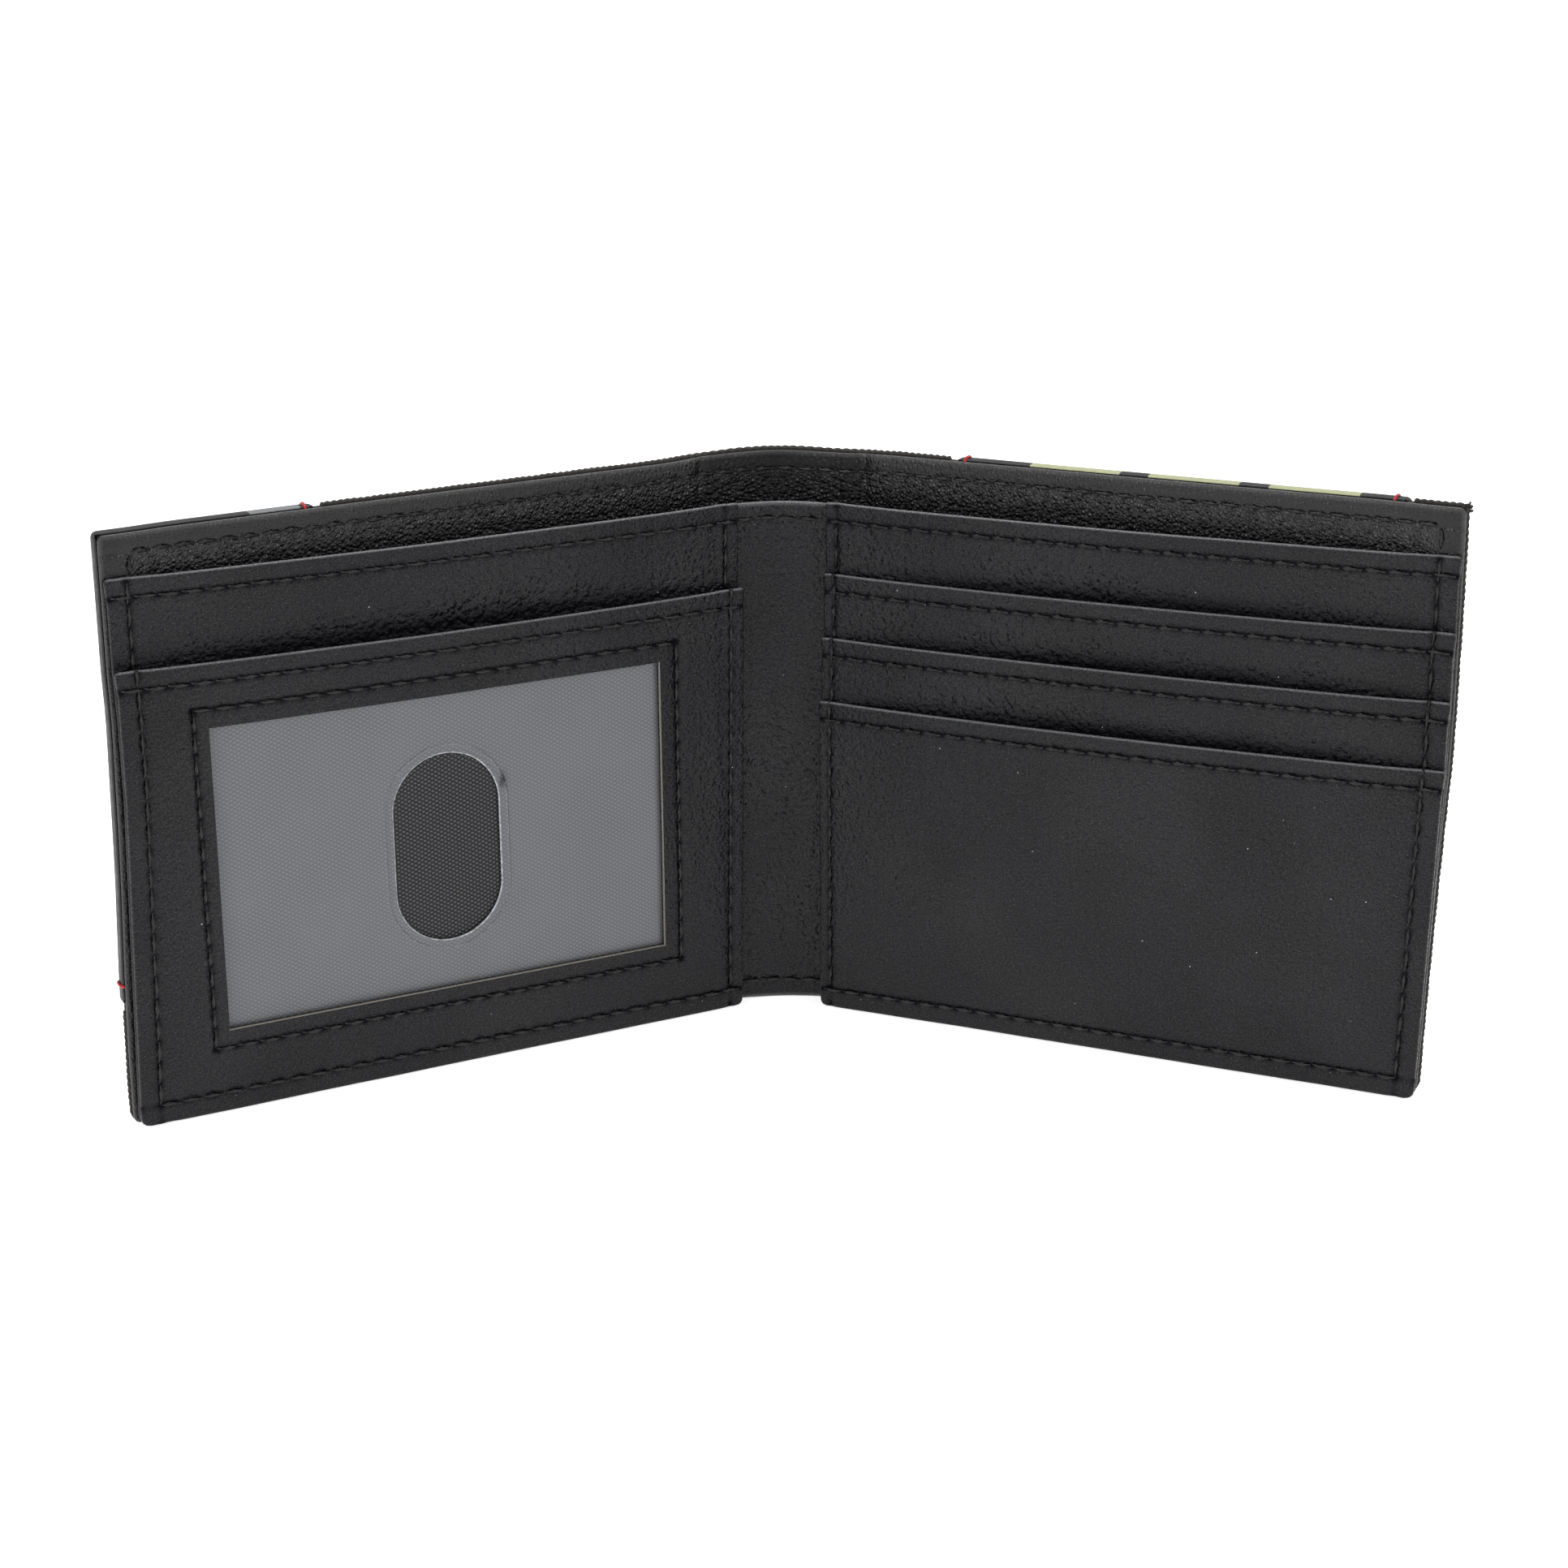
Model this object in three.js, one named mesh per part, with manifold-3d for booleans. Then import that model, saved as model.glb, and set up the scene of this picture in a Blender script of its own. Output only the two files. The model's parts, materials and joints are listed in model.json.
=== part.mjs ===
// Bifold wallet, standing open on its bottom edges like a book.
//
// Frame: millimetres, +Z up, +X along the open wallet, -Y is the side that shows the card pockets and
// +Y the outside. The origin is the centre of the bounding box's base.
//
// The wallet has three parts: a spine and two panels, each folding about a vertical crease at the
// spine's edge. Both panels have the same outer cover (canvas, board and lining, with a sewn patch)
// and an inner pocket stack. The cover is sewn to the stack along the bottom and the free edge, and
// stands off it towards the spine and the top, which is the note compartment. The left stack has one
// card slot and a clear identity window, the right one has three card slots over a back pocket.
//
// Inside a panel's group, x runs from the crease to the free edge (negative on the left), y is depth
// behind the front face of the panel's back sheet, and z is height.

import * as THREE from "three";
import { mergeVertices } from "three/addons/utils/BufferGeometryUtils.js";
import Module from "manifold-3d";

const wasm = await Module();
wasm.setup();

// Driving dimensions
const PANEL_WIDTH = 98; // crease to free edge
const SPINE_WIDTH = 14; // between the two creases
const COVER_HEIGHT = 88.5;
const POCKET_HEIGHT = 82; // top edge of the pocket stack
const REST_FOLD = THREE.MathUtils.degToRad(26); // each panel's fold at rest, from flat
const NOTE_GAP = 4.8; // how far the cover stands off the stack at the crease's top end

// Sheet thicknesses and the play between neighbouring sheets
const LEATHER = 0.8;
const CANVAS = 0.9;
const BOARD = 0.5;
const LINING = 0.6;
const NYLON = 0.3;
const VINYL = 0.3;
const PATCH = 0.9;
const PLAY = 0.2;

// Seams
const THREAD_WIDTH = 0.5;
const THREAD_HEIGHT = 0.3;
const EDGE_SEAM = 3; // from a free or bottom edge to its seam
const CREASE_SEAM = 2.2; // from the crease to the seam beside it
const SLOT_SEAM = 2.9; // from a pocket's top edge down to its seam
const COVER_SEAM = 2.8; // from the cover's top edge down to its seam

// Pockets
const CREASE_PLAY = 0.4; // bare strip between a crease and the panel's sheets
const ID_TOP = 69; // top edge of the identity pocket
const SLOT_TOPS = [71, 61, 51]; // top edges of the right panel's slot facings, back to front
const SLOT_HIDDEN = 3; // how far a facing reaches below the next facing's top edge
const LINER_INSET = 1.2; // nylon stays this far inside the panel's outline
const WINDOW = { x0: 13.9, x1: 85.8, z0: 12.8, z1: 59.2 };
const WINDOW_SEAM = 2.8; // from the window's edge out to its seam
const VINYL_OVERLAP = 2; // clear sheet beyond the window, under the frame
const THUMB_SLOT = { x: 49.3, z: 34.9, width: 17, height: 29.5 };

// Cover
const COVER_OVERHANG = { left: 1.3, right: 0.3 }; // cover beyond the stack's free edge
const COVER_START = 4; // crease to the inner end of the cover's panel sheets
const BOARD_INSET = 3;
const SPINE_HALF = 10.2; // half the width of the cover's spine piece
const SPINE_TOP = { y: 5.2, rise: 2.4 }; // spine lining's ends and bow, at the cover's top edge
const SPINE_FOOT = { y: 1.7, rise: 1 }; // the same at the bottom, where it is sewn to the strip
const STRIP_RISE = 1.2; // how far the pocket side's spine strip bows back
const PATCH_BASE = 18;
const PATCH_TOP_INSET = 0.4;
const PATCH_SEAM = 2.2;
const LEFT_PATCH = { x0: 65, x1: 98.5 };
const RIGHT_PATCH = { x0: 19, x1: 90 };

// Meshing
const ARC_STEPS = 12;
const COLUMNS = 12; // grid of a sheet that follows the cover's twist
const ROWS = 8;

const material = (color, roughness, extra = {}) =>
  new THREE.MeshStandardMaterial({ color, roughness, metalness: 0, ...extra });
const BLACK_LEATHER = material(0x1d1d1f, 0.55);
const PEBBLED_LEATHER = material(0x161617, 0.5);
const BLACK_CANVAS = material(0x1a1917, 0.9);
const BLACK_NYLON = material(0x26272a, 0.7);
const CLEAR_VINYL = material(0x8a8d92, 0.35, { transparent: true, opacity: 0.5 });
const GREY_BOARD = material(0x6b675f, 0.95);
const CHARCOAL_PATCH = material(0x2b2c2e, 0.6);
const OLIVE_PATCH = material(0x8f9668, 0.6);
const BLACK_THREAD = material(0x121213, 0.7);
const RED_THREAD = material(0xb5161c, 0.6);

// Shapes ----------------------------------------------------------------------------------------

// A closed geometry as a manifold-3d solid.
function solid(geometry) {
  const bare = geometry.index ? geometry.toNonIndexed() : geometry.clone();
  bare.deleteAttribute("normal");
  bare.deleteAttribute("uv");
  const merged = mergeVertices(bare, 1e-4);
  return new wasm.Manifold(
    new wasm.Mesh({
      numProp: 3,
      vertProperties: merged.attributes.position.array,
      triVerts: new Uint32Array(merged.index.array),
    }),
  );
}

// Several overlapping closed geometries joined into one.
function join(geometries) {
  const { numProp, numVert, vertProperties, triVerts } = geometries
    .map(solid)
    .reduce((whole, part) => whole.add(part))
    .getMesh();
  const position = new Float32Array(numVert * 3);
  for (let i = 0; i < numVert; i++) {
    position.set(vertProperties.subarray(i * numProp, i * numProp + 3), i * 3);
  }
  const geometry = new THREE.BufferGeometry();
  geometry.setAttribute("position", new THREE.BufferAttribute(position, 3));
  geometry.setIndex(new THREE.BufferAttribute(triVerts, 1));
  geometry.computeVertexNormals();
  return geometry;
}

// Moves every point back by depthAt(x, z).
function pushBack(geometry, depthAt) {
  const { position } = geometry.attributes;
  for (let i = 0; i < position.count; i++) {
    position.setY(i, position.getY(i) + depthAt(position.getX(i), position.getZ(i)));
  }
  geometry.computeVertexNormals();
  return geometry;
}

// A box from its two corners along each axis, in any order.
function block([xa, xb], [ya, yb], [za, zb], columns = 1, rows = 1) {
  const size = [xb - xa, yb - ya, zb - za].map(Math.abs);
  const box = new THREE.BoxGeometry(...size, columns, 1, rows);
  return box.translate((xa + xb) / 2, (ya + yb) / 2, (za + zb) / 2);
}

// A flat outline in x and z, standing upright, from depth y0 back to y0 + thickness.
function upright(shape, y0, thickness) {
  const options = { depth: thickness, bevelEnabled: false, curveSegments: ARC_STEPS };
  return new THREE.ExtrudeGeometry(shape, options).rotateX(Math.PI / 2).translate(0, y0 + thickness, 0);
}

function rectangle(Path, xa, xb, z0, z1) {
  const path = new Path();
  const [x0, x1] = [Math.min(xa, xb), Math.max(xa, xb)];
  path.moveTo(x0, z0);
  path.lineTo(x1, z0);
  path.lineTo(x1, z1);
  path.lineTo(x0, z1);
  path.closePath();
  return path;
}

// An upright slot outline with round ends.
function stadium({ x, z, width, height }) {
  const radius = width / 2;
  const reach = height / 2 - radius;
  const path = new THREE.Path();
  path.moveTo(x + radius, z - reach);
  path.lineTo(x + radius, z + reach);
  path.absarc(x, z + reach, radius, 0, Math.PI, false);
  path.lineTo(x - radius, z - reach);
  path.absarc(x, z - reach, radius, Math.PI, 2 * Math.PI, false);
  return path;
}

// A sheet bowed back by rise over its width, front face at depth y at its two ends.
function bowed(half, { y, rise }, thickness, z0, z1) {
  const radius = (half * half + rise * rise) / (2 * rise);
  const centre = y + rise - radius;
  const angle = Math.asin(half / radius);
  const shape = new THREE.Shape();
  shape.absarc(0, centre, radius + thickness, Math.PI / 2 - angle, Math.PI / 2 + angle, false);
  shape.absarc(0, centre, radius, Math.PI / 2 + angle, Math.PI / 2 - angle, true);
  shape.closePath();
  const options = { depth: z1 - z0, bevelEnabled: false, curveSegments: ARC_STEPS };
  return new THREE.ExtrudeGeometry(shape, options).translate(0, 0, z0);
}

// Threads: each lies PLAY in front of the face that it is sewn to ----------------------------------

const threadDepth = (face) => [face - PLAY - THREAD_HEIGHT, face - PLAY];
const threadSpan = (centre) => [centre - THREAD_WIDTH / 2, centre + THREAD_WIDTH / 2];

function threadRow(xa, xb, z, face) {
  return block([xa, xb], threadDepth(face), threadSpan(z));
}

// A closed rectangular run of thread that starts at depth y0.
function threadLoop(xa, xb, z0, z1, y0) {
  const [x0, x1] = [Math.min(xa, xb), Math.max(xa, xb)];
  const half = THREAD_WIDTH / 2;
  const shape = rectangle(THREE.Shape, x0 - half, x1 + half, z0 - half, z1 + half);
  shape.holes.push(rectangle(THREE.Path, x0 + half, x1 - half, z0 + half, z1 - half));
  return upright(shape, y0, THREAD_HEIGHT);
}

// A vertical run of thread at x, from zTop down to zBottom, that steps forward over each pocket edge.
// levels holds [top edge, depth of the front face] of each sheet, from the back one to the front one.
function threadColumn(x, zTop, zBottom, levels) {
  const pieces = [];
  levels.forEach(([top, face], i) => {
    const [nextTop, nextFace] = levels[i + 1] ?? [zBottom - PLAY, face];
    const low = nextTop + PLAY;
    const high = Math.min(top, zTop) + (i ? PLAY + THREAD_HEIGHT : 0);
    pieces.push(block(threadSpan(x), threadDepth(face), [low, high]));
    if (levels[i + 1]) {
      const step = [threadDepth(nextFace)[0], threadDepth(face)[1]];
      pieces.push(block(threadSpan(x), step, [low, low + THREAD_HEIGHT]));
    }
  });
  return join(pieces);
}

function add(group, name, geometry, look) {
  const mesh = new THREE.Mesh(geometry, look);
  mesh.name = name;
  group.add(mesh);
}

// Pocket stacks -----------------------------------------------------------------------------------

const facingFront = (n) => -n * (LEATHER + PLAY); // front face of the nth facing before the back sheet
const DIVIDER_FRONT = LEATHER + PLAY;
const STACK_BACK = DIVIDER_FRONT + NYLON + PLAY; // where the cover begins

// The crease end and the free end of a panel's sheets on one side (-1 left, 1 right).
const span = (side, inset = 0) => [side * (CREASE_PLAY + inset), side * (PANEL_WIDTH - inset)];

function backSheet(panel, side, word) {
  add(panel, `${word}_back_pocket_sheet`, block(span(side), [0, LEATHER], [0, POCKET_HEIGHT]), BLACK_LEATHER);
  const depth = [DIVIDER_FRONT, DIVIDER_FRONT + NYLON];
  const height = [LINER_INSET, POCKET_HEIGHT - LINER_INSET];
  add(panel, `${word}_note_divider`, block(span(side, LINER_INSET), depth, height), BLACK_NYLON);
}

// The seam that closes a panel at its free edge and bottom, and the one beside its crease.
function panelSeams(panel, side, word, levels) {
  const front = levels[levels.length - 1][1];
  const free = side * (PANEL_WIDTH - EDGE_SEAM);
  const column = threadColumn(free, POCKET_HEIGHT, EDGE_SEAM, levels);
  const row = threadRow(side * CREASE_PLAY, free + side * THREAD_WIDTH / 2, EDGE_SEAM, front);
  add(panel, `${word}_edge_seam`, join([column, row]), BLACK_THREAD);
  const high = POCKET_HEIGHT - SLOT_SEAM - THREAD_WIDTH;
  const low = EDGE_SEAM + THREAD_WIDTH;
  add(panel, `${word}_crease_seam`, threadColumn(side * CREASE_SEAM, high, low, levels), BLACK_THREAD);
}

// The seam under the top edge of a sheet, between the crease seam and the free-edge seam.
function slotSeam(panel, side, name, top, face) {
  const crease = CREASE_SEAM + THREAD_WIDTH;
  const free = PANEL_WIDTH - EDGE_SEAM - THREAD_WIDTH;
  add(panel, name, threadRow(side * crease, side * free, top - SLOT_SEAM, face), BLACK_THREAD);
}

function leftPockets(panel) {
  const side = -1;
  backSheet(panel, side, "left");
  const linerFront = -PLAY - NYLON;
  const vinylFront = linerFront - PLAY - VINYL;
  const frameFront = vinylFront - PLAY - LEATHER;
  const linerHeight = [LINER_INSET, ID_TOP - LINER_INSET];
  const liner = block(span(side, LINER_INSET), [linerFront, linerFront + NYLON], linerHeight);
  add(panel, "id_pocket_liner", liner, BLACK_NYLON);

  const [x0, x1] = [side * WINDOW.x0, side * WINDOW.x1];
  const { z0, z1 } = WINDOW;
  const lap = VINYL_OVERLAP;
  const clear = rectangle(THREE.Shape, x0 - side * lap, x1 + side * lap, z0 - lap, z1 + lap);
  clear.holes.push(stadium({ ...THUMB_SLOT, x: side * THUMB_SLOT.x }));
  add(panel, "id_window_vinyl", upright(clear, vinylFront, VINYL), CLEAR_VINYL);

  const frame = rectangle(THREE.Shape, ...span(side), 0, ID_TOP);
  frame.holes.push(rectangle(THREE.Path, x0, x1, z0, z1));
  add(panel, "id_window_frame", upright(frame, frameFront, LEATHER), BLACK_LEATHER);
  const out = WINDOW_SEAM;
  const seamFront = threadDepth(frameFront)[0];
  const loop = threadLoop(x0 - side * out, x1 + side * out, z0 - out, z1 + out, seamFront);
  add(panel, "id_window_seam", loop, BLACK_THREAD);

  panelSeams(panel, side, "left", [[POCKET_HEIGHT, 0], [ID_TOP, frameFront]]);
  slotSeam(panel, side, "left_top_seam", POCKET_HEIGHT, 0);
  slotSeam(panel, side, "id_pocket_top_seam", ID_TOP, frameFront);
}

function rightPockets(panel) {
  const side = 1;
  backSheet(panel, side, "right");
  slotSeam(panel, side, "right_top_seam", POCKET_HEIGHT, 0);
  SLOT_TOPS.forEach((top, i) => {
    const number = i + 1;
    const front = facingFront(number);
    const isFrontPanel = number === SLOT_TOPS.length;
    const bottom = isFrontPanel ? 0 : SLOT_TOPS[number] - SLOT_HIDDEN;
    const facing = block(span(side), [front, front + LEATHER], [bottom, top]);
    add(panel, `slot_facing_${number}`, facing, BLACK_LEATHER);
    if (!isFrontPanel) {
      const middle = front + LEATHER / 2;
      const depth = [middle - NYLON / 2, middle + NYLON / 2];
      const liner = block(span(side, LINER_INSET), depth, [LINER_INSET, bottom - PLAY]);
      add(panel, `slot_liner_${number}`, liner, BLACK_NYLON);
    }
    slotSeam(panel, side, `slot_seam_${number}`, top, front);
  });
  const facings = SLOT_TOPS.map((top, i) => [top, facingFront(i + 1)]);
  panelSeams(panel, side, "right", [[POCKET_HEIGHT, 0], ...facings]);
}

// Cover -------------------------------------------------------------------------------------------

// The outside of one panel: lining, board, canvas and patch, all with the cover's twist.
function panelCover(panel, side, word, patch) {
  const width = PANEL_WIDTH + COVER_OVERHANG[word];
  const standOff = (x, z) => NOTE_GAP * (1 - Math.abs(x) / width) * (z / COVER_HEIGHT);
  const addTwisted = (name, geometry, look) => add(panel, name, pushBack(geometry, standOff), look);
  const sheet = (xs, front, thickness, zs) => block(xs, [front, front + thickness], zs, COLUMNS, ROWS);

  const boardFront = STACK_BACK + LINING + PLAY;
  const canvasFront = boardFront + BOARD + PLAY;
  const patchFront = canvasFront + CANVAS + PLAY;
  const xs = [side * COVER_START, side * width];
  const zs = [0, COVER_HEIGHT];
  addTwisted(`${word}_lining`, sheet(xs, STACK_BACK, LINING, zs), PEBBLED_LEATHER);
  const boardXs = [xs[0] + side * BOARD_INSET, xs[1] - side * BOARD_INSET];
  const boardZs = [BOARD_INSET, COVER_HEIGHT - BOARD_INSET];
  addTwisted(`${word}_stiffener`, sheet(boardXs, boardFront, BOARD, boardZs), GREY_BOARD);
  addTwisted(`${word}_canvas`, sheet(xs, canvasFront, CANVAS, zs), BLACK_CANVAS);

  const seamTop = COVER_HEIGHT - COVER_SEAM;
  const free = side * (PANEL_WIDTH - EDGE_SEAM);
  const row = threadRow(xs[0] + side * THREAD_WIDTH, free, seamTop, STACK_BACK);
  const drop = [POCKET_HEIGHT + THREAD_WIDTH, seamTop + THREAD_WIDTH / 2];
  const column = block(threadSpan(free), threadDepth(STACK_BACK), drop);
  addTwisted(`${word}_cover_seam`, join([row, column]), BLACK_THREAD);

  const patchXs = [side * patch.x0, side * patch.x1];
  const patchZs = [PATCH_BASE, COVER_HEIGHT - PATCH_TOP_INSET];
  addTwisted(`${word}_patch`, sheet(patchXs, patchFront, PATCH, patchZs), patch.look);
  const [seamX0, seamX1] = [patchXs[0] + side * PATCH_SEAM, patchXs[1] - side * PATCH_SEAM];
  const [seamZ0, seamZ1] = [patchZs[0] + PATCH_SEAM, patchZs[1] - PATCH_SEAM];
  const loop = threadLoop(seamX0, seamX1, seamZ0, seamZ1, patchFront + PATCH + PLAY);
  addTwisted(`${word}_patch_seam`, loop, RED_THREAD);
}

// Spine -------------------------------------------------------------------------------------------

// The cover between the panels, its top end bowed further back than its foot.
function spineCover(wallet) {
  const lean = (x, z) => {
    const bow = 1 - (x / SPINE_HALF) ** 2;
    const travel = SPINE_TOP.y - SPINE_FOOT.y + (SPINE_TOP.rise - SPINE_FOOT.rise) * bow;
    return travel * (z / COVER_HEIGHT - 1);
  };
  const addLeaning = (name, offset, thickness, [z0, z1], look) => {
    const bow = { ...SPINE_TOP, y: SPINE_TOP.y + offset };
    add(wallet, name, pushBack(bowed(SPINE_HALF, bow, thickness, z0, z1), lean), look);
  };
  addLeaning("spine_lining", 0, LINING, [0, COVER_HEIGHT], PEBBLED_LEATHER);
  addLeaning("spine_canvas", LINING + PLAY, CANVAS, [0, COVER_HEIGHT], BLACK_CANVAS);
  const seam = threadSpan(COVER_HEIGHT - COVER_SEAM);
  addLeaning("spine_cover_seam", -PLAY - THREAD_HEIGHT, THREAD_HEIGHT, seam, BLACK_THREAD);
}

function spineStrip(wallet) {
  const half = SPINE_WIDTH / 2 - CREASE_PLAY;
  const bow = { y: 0, rise: STRIP_RISE };
  add(wallet, "spine_strip", bowed(half, bow, LEATHER, 0, POCKET_HEIGHT), BLACK_LEATHER);
  const seamBow = { y: threadDepth(0)[0], rise: STRIP_RISE };
  const seam = (z) => bowed(half, seamBow, THREAD_HEIGHT, ...threadSpan(z));
  add(wallet, "spine_top_seam", seam(POCKET_HEIGHT - SLOT_SEAM), BLACK_THREAD);
  add(wallet, "spine_bottom_seam", seam(EDGE_SEAM), BLACK_THREAD);
}

// Assembly ----------------------------------------------------------------------------------------

function foldedPanel(wallet, side) {
  const panel = new THREE.Group();
  panel.position.x = side * SPINE_WIDTH / 2;
  panel.rotation.z = -side * REST_FOLD;
  wallet.add(panel);
  return panel;
}

const wallet = new THREE.Group();
spineStrip(wallet);
spineCover(wallet);
const left = foldedPanel(wallet, -1);
leftPockets(left);
panelCover(left, -1, "left", { ...LEFT_PATCH, look: CHARCOAL_PATCH });
const right = foldedPanel(wallet, 1);
rightPockets(right);
panelCover(right, 1, "right", { ...RIGHT_PATCH, look: OLIVE_PATCH });

// The origin moves to the centre of the bounding box's base.
wallet.updateMatrixWorld(true);
const centre = new THREE.Box3().setFromObject(wallet, true).getCenter(new THREE.Vector3());
wallet.position.set(-centre.x, -centre.y, 0);

export default wallet;
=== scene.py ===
"""The looks of the open bifold wallet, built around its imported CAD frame.

Every piece is laid out in its panel's own coordinates, in millimetres, and then placed in the frame:
s runs from the panel's crease to its free edge, d is depth behind the back pocket sheet's front face,
and z is height. The cover runs on past the crease, with s below zero, to the middle of the spine.
"""

import json
import math

import bpy
import numpy as np
from mathutils import Matrix, Vector


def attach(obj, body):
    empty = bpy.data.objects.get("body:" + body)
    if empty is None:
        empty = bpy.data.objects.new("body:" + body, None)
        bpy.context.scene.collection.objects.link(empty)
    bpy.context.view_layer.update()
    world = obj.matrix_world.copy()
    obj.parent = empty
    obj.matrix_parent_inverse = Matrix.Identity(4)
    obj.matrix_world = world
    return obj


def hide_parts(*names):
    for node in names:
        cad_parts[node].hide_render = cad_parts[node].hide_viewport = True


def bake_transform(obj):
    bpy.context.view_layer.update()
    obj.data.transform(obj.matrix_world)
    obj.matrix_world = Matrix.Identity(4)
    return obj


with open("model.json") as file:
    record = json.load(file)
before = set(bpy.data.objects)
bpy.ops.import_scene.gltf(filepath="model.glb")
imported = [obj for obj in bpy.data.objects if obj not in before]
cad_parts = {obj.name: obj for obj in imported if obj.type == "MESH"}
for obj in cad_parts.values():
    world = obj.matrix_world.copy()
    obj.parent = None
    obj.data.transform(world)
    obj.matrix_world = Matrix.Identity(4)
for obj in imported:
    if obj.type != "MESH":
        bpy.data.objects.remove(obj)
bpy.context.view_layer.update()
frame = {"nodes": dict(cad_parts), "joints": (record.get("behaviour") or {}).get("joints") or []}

MM = 0.001

# Camera, from the point on the floor midway between the two creases
CAMERA_PLACE = (-15.3, -455.1, 181.7)
CAMERA_LENS = 69.3
CAMERA_PITCH = math.radians(17.67)
CAMERA_YAW = math.radians(-2.01)
CAMERA_ROLL = math.radians(-0.51)

# Grids
STEP = 0.75  # between the grid lines of a visible sheet
COVER_STEP = 1.05 * STEP
PATCH_STEP = 1.1 * STEP
STRIP_STEP = 0.5
COARSE_STEP = 2.5  # and of a hidden one
RIM_SHARE = 0.42  # a rounded rim's radius, as a share of the sheet's thickness
RIM_LINES = (0.0, 0.07, 0.28, 0.6, 1.0)  # grid lines in a rim, as shares of its radius
SEAM_LINES = (-0.8, -0.45, -0.2, 0.0, 0.2, 0.45, 0.8)  # grid lines across a seam

# Stitches
PITCH = 3.3
THREAD_RADIUS = 0.25
STITCH_RINGS = 11
STITCH_SIDES = 8
HALF_THREAD = 0.25  # from the side of a CAD seam to the middle of its thread


# Small shared functions ---------------------------------------------------------------------------


def smooth(t):
    """0 below t = 0, 1 above t = 1 and an S curve between."""
    t = np.clip(t, 0, 1)
    return t * t * (3 - 2 * t)


def hump(x, width):
    """A bell curve, 1 at x = 0."""
    return np.exp(-((x / width) ** 2))


def curve_between(t, start, way, end, end_way, reach):
    """Points of a smooth curve reach long, from start, where it heads along way, at t = 0 to end, where
    it heads along end_way, at t = 1."""
    t2, t3 = t**2, t**3
    curve = (2 * t3 - 3 * t2 + 1) * start + (t3 - 2 * t2 + t) * reach * way
    return curve + (3 * t2 - 2 * t3) * end + (t3 - t2) * reach * end_way


class Noise:
    """Smooth random values from -1 to 1 over a plane, the same at every run."""

    def __init__(self, seed):
        self.table = np.random.default_rng(seed).uniform(-1, 1, (64, 64))

    def __call__(self, x, y):
        x, y = np.broadcast_arrays(x, y)
        column, row = np.floor(x).astype(int), np.floor(y).astype(int)
        u, v = smooth(x - column), smooth(y - row)

        def corner(i, j):
            return self.table[(row + j) % 64, (column + i) % 64]

        low = corner(0, 0) * (1 - u) + corner(1, 0) * u
        high = corner(0, 1) * (1 - u) + corner(1, 1) * u
        return low * (1 - v) + high * v


CORNER_WARP = 0.9  # how far the right panel's free bottom corner stands forward
FOOT_SHEAR = 1.35  # how far that corner is drawn towards the crease
WARP_TOP = 50.0  # height at which both end
WARP_START, SHEAR_START = 25.0, 20.0  # s at which they begin
FREE_EDGE = 98.0  # s at which they are full


class Panel:
    """The place of one panel in the frame, read from its joint."""

    def __init__(self, body, side):
        joint = next(j for j in frame["joints"] if j["child"] == body)
        fold = math.radians(-joint["range_deg"][0])
        self.body = body
        self.side = side
        self.crease = np.array(joint["pos_m"][:2]) / MM
        self.along = np.array([side * math.cos(fold), -math.sin(fold)])
        self.back = np.array([side * math.sin(fold), math.cos(fold)])
        self.sideways = np.array([side, 0.0, 0.0])

    def points(self, node):
        """The (s, d, z) of a CAD node's vertices."""
        points = np.array([vertex.co for vertex in frame["nodes"][node].data.vertices]) / MM
        flat = points[:, :2] - self.crease
        return np.column_stack([flat @ self.along, flat @ self.back, points[:, 2]])

    def extent(self, node):
        """Lowest and highest (s, d, z) of a CAD node."""
        points = self.points(node)
        return points.min(0), points.max(0)

    def opening(self, node):
        """(s0, s1, z0, z1) of the hole in a CAD node, from its vertices inside its own outline."""
        (s0, _, z0), (s1, _, z1) = self.extent(node)
        s, _, z = self.points(node).T
        inside = (s > s0 + 1) & (s < s1 - 1) & (z > z0 + 1) & (z < z1 - 1)
        return s[inside].min(), s[inside].max(), z[inside].min(), z[inside].max()

    def place(self, s, d, z):
        """Points in the frame, in millimetres. The right panel's foot is warped forward."""
        s, d, z = np.broadcast_arrays(s, d, z)
        if self.side > 0:
            foot = np.clip(1 - z / WARP_TOP, 0, 1)
            d = d - CORNER_WARP * foot * np.clip((s - WARP_START) / (FREE_EDGE - WARP_START), 0, 1.1)
            s = s - FOOT_SHEAR * foot * np.clip((s - SHEAR_START) / (FREE_EDGE - SHEAR_START), 0, 1.1)
        flat = self.crease + s[..., None] * self.along + d[..., None] * self.back
        return np.concatenate([flat, z[..., None]], axis=-1)

    def front_normal(self):
        """A unit vector out of the panel's front."""
        return np.array([*-self.back, 0.0])


LEFT = Panel("left_panel", -1)
RIGHT = Panel("right_panel", 1)
WORDS = {LEFT: "left", RIGHT: "right"}
MIDDLE = (LEFT.crease + RIGHT.crease) / 2


# Meshes -------------------------------------------------------------------------------------------


def grid_lines(low, high, step, rim=0.0, marks=()):
    """Grid lines from low to high, closer together in the rims and around each mark."""
    close = [low + rim * share for share in RIM_LINES] + [high - rim * share for share in RIM_LINES]
    close += [mark + offset for mark in marks for offset in SEAM_LINES if low < mark + offset < high]
    even = np.linspace(low, high, max(2, round((high - low) / step) + 1))
    spread = [x for x in even if min(abs(x - c) for c in close) > 0.4 * step]
    lines = np.unique(np.round(close + spread, 5))
    gaps = np.append(True, np.diff(lines) > 0.02)
    gaps[-1] = True
    return lines[gaps]


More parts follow.
